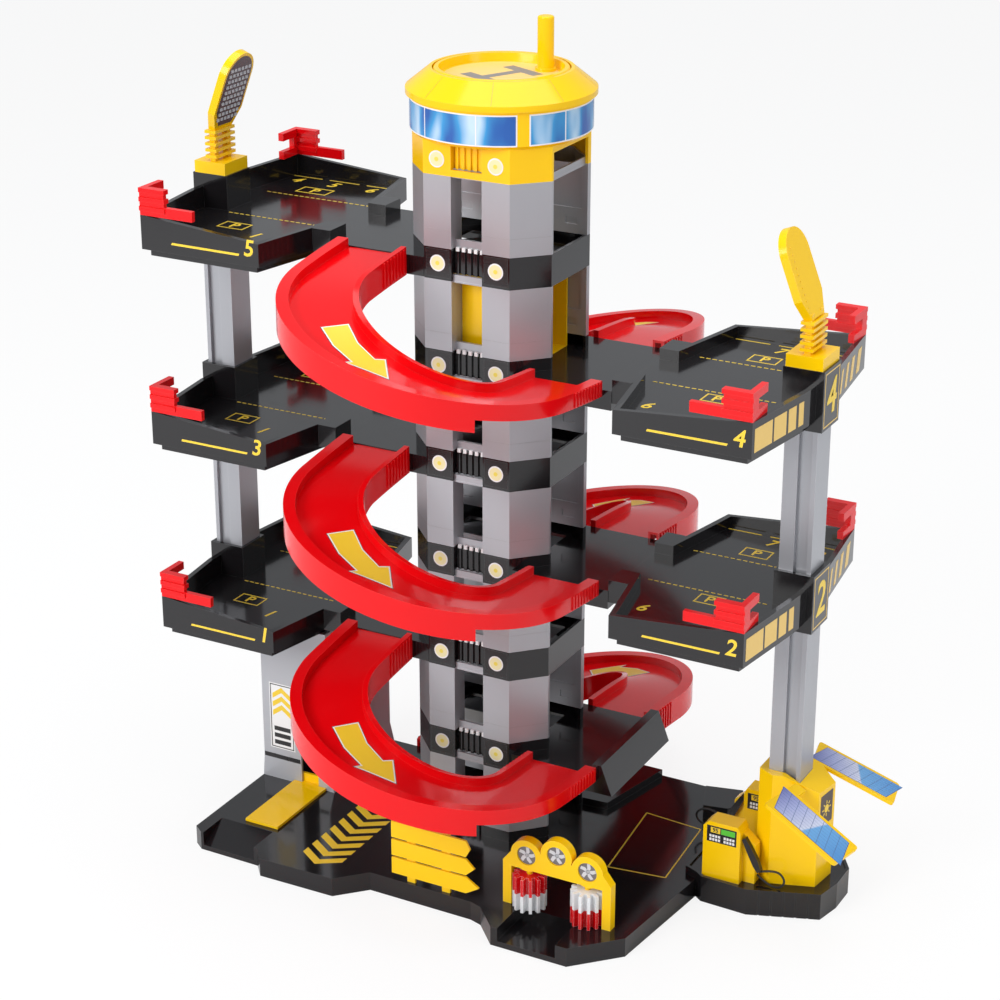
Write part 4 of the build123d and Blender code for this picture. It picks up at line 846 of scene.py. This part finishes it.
# ---- Light masts
# Each mast ends in a leaning lamp head with a raised rim. The left head carries a dark mesh of
# square lamp cells on its inner face, and the right one is a plain ribbed panel.
MAST_LEAN = radians(21.0)
MAST_X, MAST_FOOT = 318.0, 78.0
HEAD_FACE = 4.0
HEAD_R, NECK_HALF = 21, 11
mast_mesh = moulding("mast_mesh", (0.11, 0.07, 0.08), (0.35, 0.3, 0.3), gloss=0.45)
crown = [(HEAD_R * cos(radians(a)), 60 + HEAD_R * sin(radians(a))) for a in range(15, 180, 15)]
head_outline = [(-NECK_HALF, 6), (NECK_HALF, 6), (HEAD_R, 23), (HEAD_R, 60), *crown, (-HEAD_R, 60),
                (-HEAD_R, 23)]
for side, level in ((-1, 5), (1, 4)):
    climb = Vector((-side * sin(MAST_LEAN), 0, cos(MAST_LEAN)))
    toward = Vector((cos(MAST_LEAN), 0, side * sin(MAST_LEAN)))
    face_origin = Vector((side * MAST_X, 0, floor_z(level) + MAST_FOOT)) + toward * HEAD_FACE
    run_across = climb.cross(toward)
    if side < 0:
        plates("mast_lamp_face", mast_mesh, "garage",
               [(face_origin, run_across, climb, head_outline)], thick=0.3)
        cell_lines = [[face_origin + toward * 0.4 + climb * (14 + 6 * k) + run_across * u for u in (-15, 15)]
                      for k in range(10)]
        rows("mast_lamp_cells", grey, "garage", cell_lines, 6, (4.2, 0.5, 4.2))
    else:
        rib_lines = [[face_origin + toward * 0.1 + climb * (12 + 6.2 * k) + run_across * u for u in (-15, 15)]
                     for k in range(10)]
        rows("mast_panel_ribs", yellow, "garage", rib_lines, 1, (1.0, 0.9, 1.4))

# ---- Deck markings
# The exit lane has seven yellow chevrons, the service bay in front of the grey tower a warning
# label, and the parking bay beside the wash a thin yellow outline.
halves = []
for k in range(7):
    point = (-105.0, -197.0 + 16.8 * k, DECK_Z)
    halves.append((point, ACROSS, AWAY, [(-23, 15), (0, 0), (0, 9.5), (-23, 24.5)]))
    halves.append((point, ACROSS, AWAY, [(0, 0), (23, 15), (23, 24.5), (0, 9.5)]))
plates("exit_chevrons", label_yellow, "garage", halves)
corners = [Vector(p) for p in ((142, 52, DECK_Z), (205, 47, DECK_Z), (213, -56, DECK_Z), (154, -64, DECK_Z))]
outline_patches = []
for one, two in zip(corners, corners[1:] + corners[:1]):
    run = two - one
    outline_patches.append((one, run, Vector((-run.y, run.x, 0)), strip(0, run.length, -0.7, 0.7)))
plates("bay_outline", label_yellow, "garage", outline_patches)
SERVICE_FRONT = -65.0
sticker = (-226.0, SERVICE_FRONT, 94.0)
plates("bay_sticker", label_white, "garage",
       [(sticker, ACROSS, UP, strip(-15, 15, -38, 38))])
plates("bay_sticker_edge", label_black, "garage",
       [(sticker, ACROSS, UP, o) for o in border(-13.8, 13.8, -36.8, 36.8, 1.0)], thick=0.3)
warnings = []
for k, low in enumerate((8, 18, 28)):
    warnings.append((sticker, ACROSS, UP, [(-11, low - 8), (0, low), (0, low + 6), (-11, low - 2)]))
    warnings.append((sticker, ACROSS, UP, [(0, low), (11, low - 8), (11, low - 2), (0, low + 6)]))
plates("bay_sticker_chevrons", label_yellow, "garage", warnings, thick=0.3)
plates("bay_sticker_bars", label_black, "garage",
       [(sticker, ACROSS, UP, strip(-10, 10, v, v + 5)) for v in (-33, -25, -17)], thick=0.3)
plates("tower_stripe", label_black, "garage",
       [((-251.0, SERVICE_FRONT, 46.0), ACROSS, UP, strip(1.5, 46, -2.5, 2.5)),
        ((-183.0, SERVICE_FRONT, 46.0), ACROSS, UP, strip(0, 12, -2.5, 2.5))])

# ---- Car wash
# The yellow arch has three fan labels, grey discs with five bent blades and a hub. Each brush roller
# is dyed in two halves, red and white, one above the other.
fan_grey = ink("fan_grey", (0.16, 0.15, 0.16))
fan_blade = ink("fan_blade", (0.62, 0.62, 0.64))
ARCH_FACE = -168.0
BLADE = [(1.2, -1.2), (4.5, -2.4), (8.6, -1.0), (8.2, 2.2), (4.5, 1.4), (1.0, 1.2)]
fans = [(x, ARCH_FACE, z) for x, z in ((118.0, 77.0), (150.0, 85.0), (183.0, 77.0))]
plates("fan_discs", fan_grey, "garage",
       [(fan, ACROSS, UP, round_outline(9.8, count=32)) for fan in fans])
blades = []
for fan in fans:
    for k in range(5):
        turn = radians(72 * k + 10)
        across = Vector((cos(turn), 0, sin(turn)))
        up = Vector((-sin(turn), 0, cos(turn)))
        blades.append((fan, across, up, BLADE))
    blades.append((fan, ACROSS, UP, round_outline(1.9, count=16)))
plates("fan_blades", fan_blade, "garage", blades, thick=0.35)


def two_tone(name, low_colour, high_colour, split):
    """Brush plastic that changes dye at a height."""
    dyed = moulding(name, (0.8, 0.8, 0.8), (0.95, 0.9, 0.9), gloss=0.24, clouding=0.12, wear=0.3)
    tree = dyed.node_tree
    place = tree.nodes.new("ShaderNodeTexCoord")
    axes = tree.nodes.new("ShaderNodeSeparateXYZ")
    tree.links.new(place.outputs["Object"], axes.inputs[0])
    over = sum_of(tree, "GREATER_THAN", axes.outputs["Z"], split * mm)
    tint(tree, blend_of(tree, over, (*low_colour, 1), (*high_colour, 1)))
    return dyed


BRUSH_RED, BRUSH_WHITE = (0.68, 0.006, 0.01), (0.80, 0.81, 0.82)
BRUSH_SPLIT = 38.5
dress(two_tone("left_brush", BRUSH_WHITE, BRUSH_RED, BRUSH_SPLIT), "wash_roller_left")
dress(two_tone("right_brush", BRUSH_RED, BRUSH_WHITE, BRUSH_SPLIT), "wash_roller_right")

# ---- Petrol pumps
# Each yellow pump has a dark display label with a plain number, a green field and two blocks of
# white keys.
display_green = ink("display_green", (0.10, 0.55, 0.04))
for number, base_x, face_y, flip in ((1, 246.0, -43.0, 1), (2, 295.0, 34.0, -1)):
    centre = Vector((base_x + flip * 19.5, face_y, 74.5))
    plates(f"pump_display_{number}", label_black, "garage",
           [(centre, ACROSS, UP, strip(-15.5, 15.5, -8.5, 9.0))])
    plates(f"pump_field_{number}", label_yellow, "garage",
           [(centre, ACROSS, UP, strip(-11.5, -1.5, 1.8, 7.6))], thick=0.3)
    plates(f"pump_green_{number}", display_green, "garage",
           [(centre, ACROSS, UP, strip(-0.5, 14.0, 1.8, 7.6))], thick=0.3)
    numerals(f"pump_number_{number}", label_black, "garage",
             [("95", 4.4, 0.0, centre + Vector((-6.5, -0.3, 4.7)), ACROSS, UP)], thick=0.2)
    rows(f"pump_keys_{number}", label_white, "garage",
         [[centre + Vector((x, -0.3, v)) for x in span]
          for span in ((-11.5, -2.5), (3.5, 12.5)) for v in (-5.6, -1.8)], 4, (2.2, 0.5, 2.6))

# ---- Solar panels and house
# Blue cell prints cover both panels inside a yellow rim, with a pale diagonal band of painted
# sheen, a painted reflection, across them. A brown label on the house shows a plain sun.
PANEL_CORNER = (320.0, 31.0, 140.0)
PANEL_TURN, PANEL_TILT, PANEL_ROLL = radians(-12.0), radians(23.8), radians(9.6)
PRINT_LONG, PRINT_WIDE = 83.0, 35.2
CELL_COUNT, CELL_EDGE, CELL_GAP = 8, 0.5, 0.22
SHEEN_REACH = 46.0


def cell_print(name, start, end):
    """Blue cell print with a painted sheen, a pale painted reflection that ends in a sharp diagonal, from one
    point to another.
    """
    printed = ink(name, (0.10, 0.33, 0.66), gloss=0.12)
    tree = printed.node_tree
    place = tree.nodes.new("ShaderNodeTexCoord")
    shift = tree.nodes.new("ShaderNodeVectorMath")
    shift.operation = "SUBTRACT"
    shift.inputs[1].default_value = start * mm
    tree.links.new(place.outputs["Object"], shift.inputs[0])
    run = (end - start) * mm
    along = tree.nodes.new("ShaderNodeVectorMath")
    along.operation = "DOT_PRODUCT"
    along.inputs[1].default_value = run / run.length_squared
    tree.links.new(shift.outputs[0], along.inputs[0])
    # The pale stops are painted sheen, a painted reflection; the blue ends are the cells' own print.
    tones = tree.nodes.new("ShaderNodeValToRGB")
    tones.color_ramp.elements[0].position = 0.0
    tones.color_ramp.elements[0].color = (0.13, 0.16, 0.46, 1)
    tones.color_ramp.elements[1].position = 1.0
    tones.color_ramp.elements[1].color = (0.07, 0.27, 0.62, 1)
    for position, colour in ((0.28, (0.42, 0.46, 0.74, 1)), (0.52, (0.66, 0.69, 0.84, 1)),
                             (0.54, (0.16, 0.42, 0.76, 1))):
        tones.color_ramp.elements.new(position).color = colour
    tree.links.new(along.outputs["Value"], tones.inputs["Fac"])
    tint(tree, tones.outputs["Color"])
    return printed


cell_line = ink("cell_line", (0.05, 0.10, 0.30), gloss=0.2)
for name, s in (("panel_front", 1), ("panel_rear", -1)):
    along = Vector((cos(PANEL_TURN) * cos(PANEL_TILT), -s * sin(PANEL_TURN) * cos(PANEL_TILT),
                    -sin(PANEL_TILT)))
    flat = Vector((sin(PANEL_TURN), -s * cos(PANEL_TURN), 0))
    rise = flat.cross(along) * s
    inward = flat * cos(PANEL_ROLL) + rise * sin(PANEL_ROLL)
    across, up = (inward, along) if s > 0 else (along, inward)
    corner = Vector((PANEL_CORNER[0], s * PANEL_CORNER[1], PANEL_CORNER[2]))
    origin = corner + along * 44.0 - inward * 20.1 + across.cross(up) * 1.75

    def on_panel(u0, u1, v0, v1):
        """Rectangle along and across the panel, in its label's own directions."""
        return strip(v0, v1, u0, u1) if s > 0 else strip(u0, u1, v0, v1)

    ground = on_panel(-PRINT_LONG / 2, PRINT_LONG / 2, -PRINT_WIDE / 2, PRINT_WIDE / 2)
    long = (PRINT_LONG - 2 * CELL_EDGE) / CELL_COUNT
    wide = (PRINT_WIDE - 2 * CELL_EDGE) / CELL_COUNT
    cells = []
    for i in range(CELL_COUNT):
        for j in range(CELL_COUNT):
            u, v = CELL_EDGE - PRINT_LONG / 2 + long * i, CELL_EDGE - PRINT_WIDE / 2 + wide * j
            cells.append(on_panel(u + CELL_GAP, u + long - CELL_GAP, v + CELL_GAP, v + wide - CELL_GAP))
    plates(f"{name}_ground", cell_line, "garage", [(origin, across, up, ground)])
    # Painted reflection: the diagonal sheen band runs between these two points.
    sheen = (along * 0.94 - inward * 0.34) * SHEEN_REACH
    print_and_sheen_ink = cell_print(f"{name}_print", origin - sheen, origin + sheen)
    plates(f"{name}_cells", print_and_sheen_ink, "garage",
           [(origin, across, up, cell) for cell in cells], thick=0.28)
sun_brown = ink("sun_brown", (0.05, 0.025, 0.012))
wall_start, wall_end = Vector((352.0, -12.0, 0)), Vector((356.0, 20.0, 0))
wall_run = wall_end - wall_start
sun_centre = wall_start + wall_run * 0.48 + Vector((0, 0, 106.0))
plates("sun_label", sun_brown, "garage",
       [(sun_centre, wall_run, UP, strip(-12, 12, -17, 17))])
rays = [(sun_centre, wall_run, UP, round_outline(4.2, count=24))]
for k in range(8):
    spoke = Vector((cos(radians(45 * k)), sin(radians(45 * k))))
    root, tip = spoke * 5.4, spoke * 8.6
    wide = spoke.orthogonal() * 0.9
    narrow = wide * 0.6
    ray = [tuple(p) for p in (root - wide, tip - narrow, tip + narrow, root + wide)]
    rays.append((sun_centre, wall_run, UP, ray))
plates("sun_rays", label_yellow, "garage", rays, thick=0.32)
